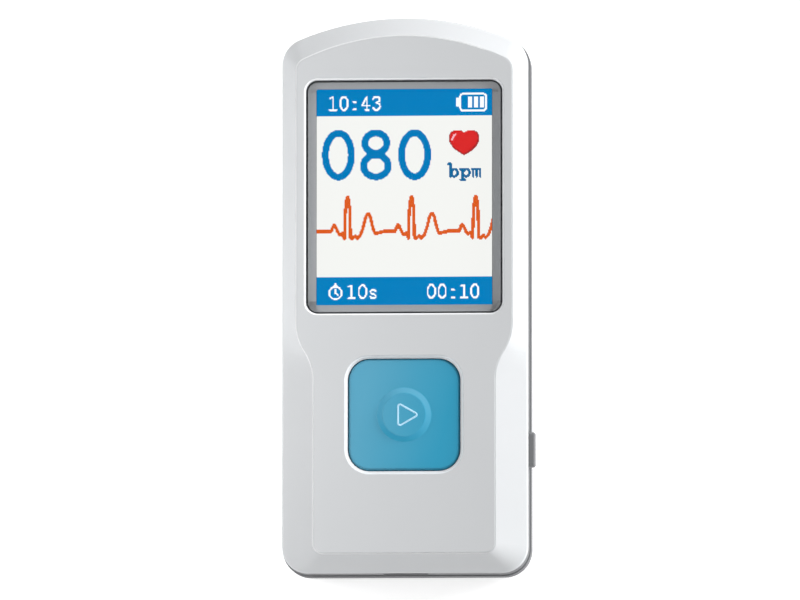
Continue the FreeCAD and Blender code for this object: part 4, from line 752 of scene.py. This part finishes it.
def screw_form(length):
    """A pan-head screw, head down, with its seat at height 0: rings of a radius and a height round it.

    In the cross recess a ring's radius is the nearer of an arm's end, L / max(|cos t|, |sin t|), and an
    arm's side, w / min(|cos t|, |sin t|). On the shank it falls from the crest by the thread's depth times
    the triangle wave of height / pitch + t / (2 pi), and it narrows over the tip.
    """
    corner = math.atan2(ARM_HALF_WIDTH, ARM_LENGTH)
    marks = ((-corner, corner, 4), (corner, math.pi / 4, 5), (math.pi / 4, math.pi / 2 - corner, 5))
    quarter = np.concatenate([np.linspace(a, b, count, endpoint=False) for a, b, count in marks])
    turn = (quarter + np.arange(4)[:, None] * math.pi / 2).ravel()
    waves = np.abs([np.cos(turn), np.sin(turn)])
    cross = np.minimum(ARM_LENGTH / waves.max(0), ARM_HALF_WIDTH / np.maximum(waves.min(0), 1e-6))
    round_ring = np.ones_like(turn)
    recess = [(cross * size, round_ring * HEAD_HEIGHT * height) for size, height in RECESS]
    rim = [(cross, -HEAD_HEIGHT + 0.06 * HEAD_HEIGHT * (cross / ARM_LENGTH) ** 2)]
    head = [(round_ring * HEAD_RADIUS * r, round_ring * HEAD_HEIGHT * z) for r, z in HEAD_OUTLINE]
    levels = np.arange(THREAD_START, length - TIP_MARGIN, THREAD_PITCH / THREAD_STEPS)
    heights = levels[:, None] + 0 * turn
    wave = np.abs(2 * ((heights / THREAD_PITCH + turn / (2 * np.pi)) % 1) - 1)
    taper = np.clip((length - heights) / TIP_LENGTH, TIP_SHARE, 1)
    shank = list(zip((SHANK_RADIUS - THREAD_DEPTH * wave) * taper, heights))
    radii, levels = (np.array(part) for part in zip(*recess, *rim, *head, *shank))
    points = np.stack([radii * np.cos(turn), radii * np.sin(turn), levels], -1)
    poles = [(0, 0, HEAD_HEIGHT * RECESS[0][1]), (0, 0, length)]
    return np.concatenate([points.reshape(-1, 3), poles]), ring_faces(*radii.shape, closed=False)


def screws(node):
    """Four screws in the places of a node's plain ones, each stopped at its own turn."""
    low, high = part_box(node)
    seat = low.z + HEAD_HEIGHT
    form, faces = screw_form(high.z - seat)
    x, y = high.x - HEAD_RADIUS, (low.y + HEAD_RADIUS, high.y - HEAD_RADIUS)
    places = np.array([(-x, y[0], seat), (x, y[0], seat), (x, y[1], seat), (-x, y[1], seat)])
    turn = np.radians(SCREW_TURNS)
    spun = np.stack([np.cos(turn), -np.sin(turn), np.sin(turn), np.cos(turn)], -1).reshape(-1, 2, 2)
    flat = np.einsum("sij,pj->spi", spun, form[:, :2])
    heights = np.broadcast_to(form[:, 2:], (len(places), len(form), 1))
    points = np.concatenate([flat, heights], -1) + places[:, None]
    every = copied_faces(faces, len(form), len(places))
    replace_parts(new_piece(node + "_threaded", points, every, [zinc], "housing"), node)


def socket_contacts():
    """Plated contacts along the socket's tongue, each a closed flat form with a squared outline.

    x = a p(cos t) cos s, y = b p(sin t) cos s and z = c sin s, where p keeps a wave's sign and takes its
    power, t goes round and s rises from one pole to the other.
    """
    low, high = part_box("usb_tongue")
    turn, rise = np.meshgrid(np.radians(np.arange(0, 360, 10)), np.radians(np.linspace(-80, 80, 9)))
    waves = np.array([np.cos(turn), np.sin(turn)])
    square = np.sign(waves) * np.abs(waves) ** CONTACT_SQUARENESS * np.cos(rise)
    rings = np.stack([*square, np.sin(rise)], -1).reshape(-1, 3)
    form = np.concatenate([rings, [(0, 0, -1), (0, 0, 1)]]) * CONTACT_HALF_SIZES
    places = np.empty((CONTACT_COUNT, 3))
    places[:, 0] = (np.arange(CONTACT_COUNT) - CONTACT_COUNT // 2) * CONTACT_PITCH
    places[:, 1:] = (low.y + high.y) / 2 - CONTACT_SHIFT, high.z
    faces = copied_faces(ring_faces(*turn.shape, closed=False), len(form), CONTACT_COUNT)
    new_piece("socket_contacts", form + places[:, None], faces, [bronze], "housing")


screws("case_screws")
screws("board_screws")
socket_contacts()
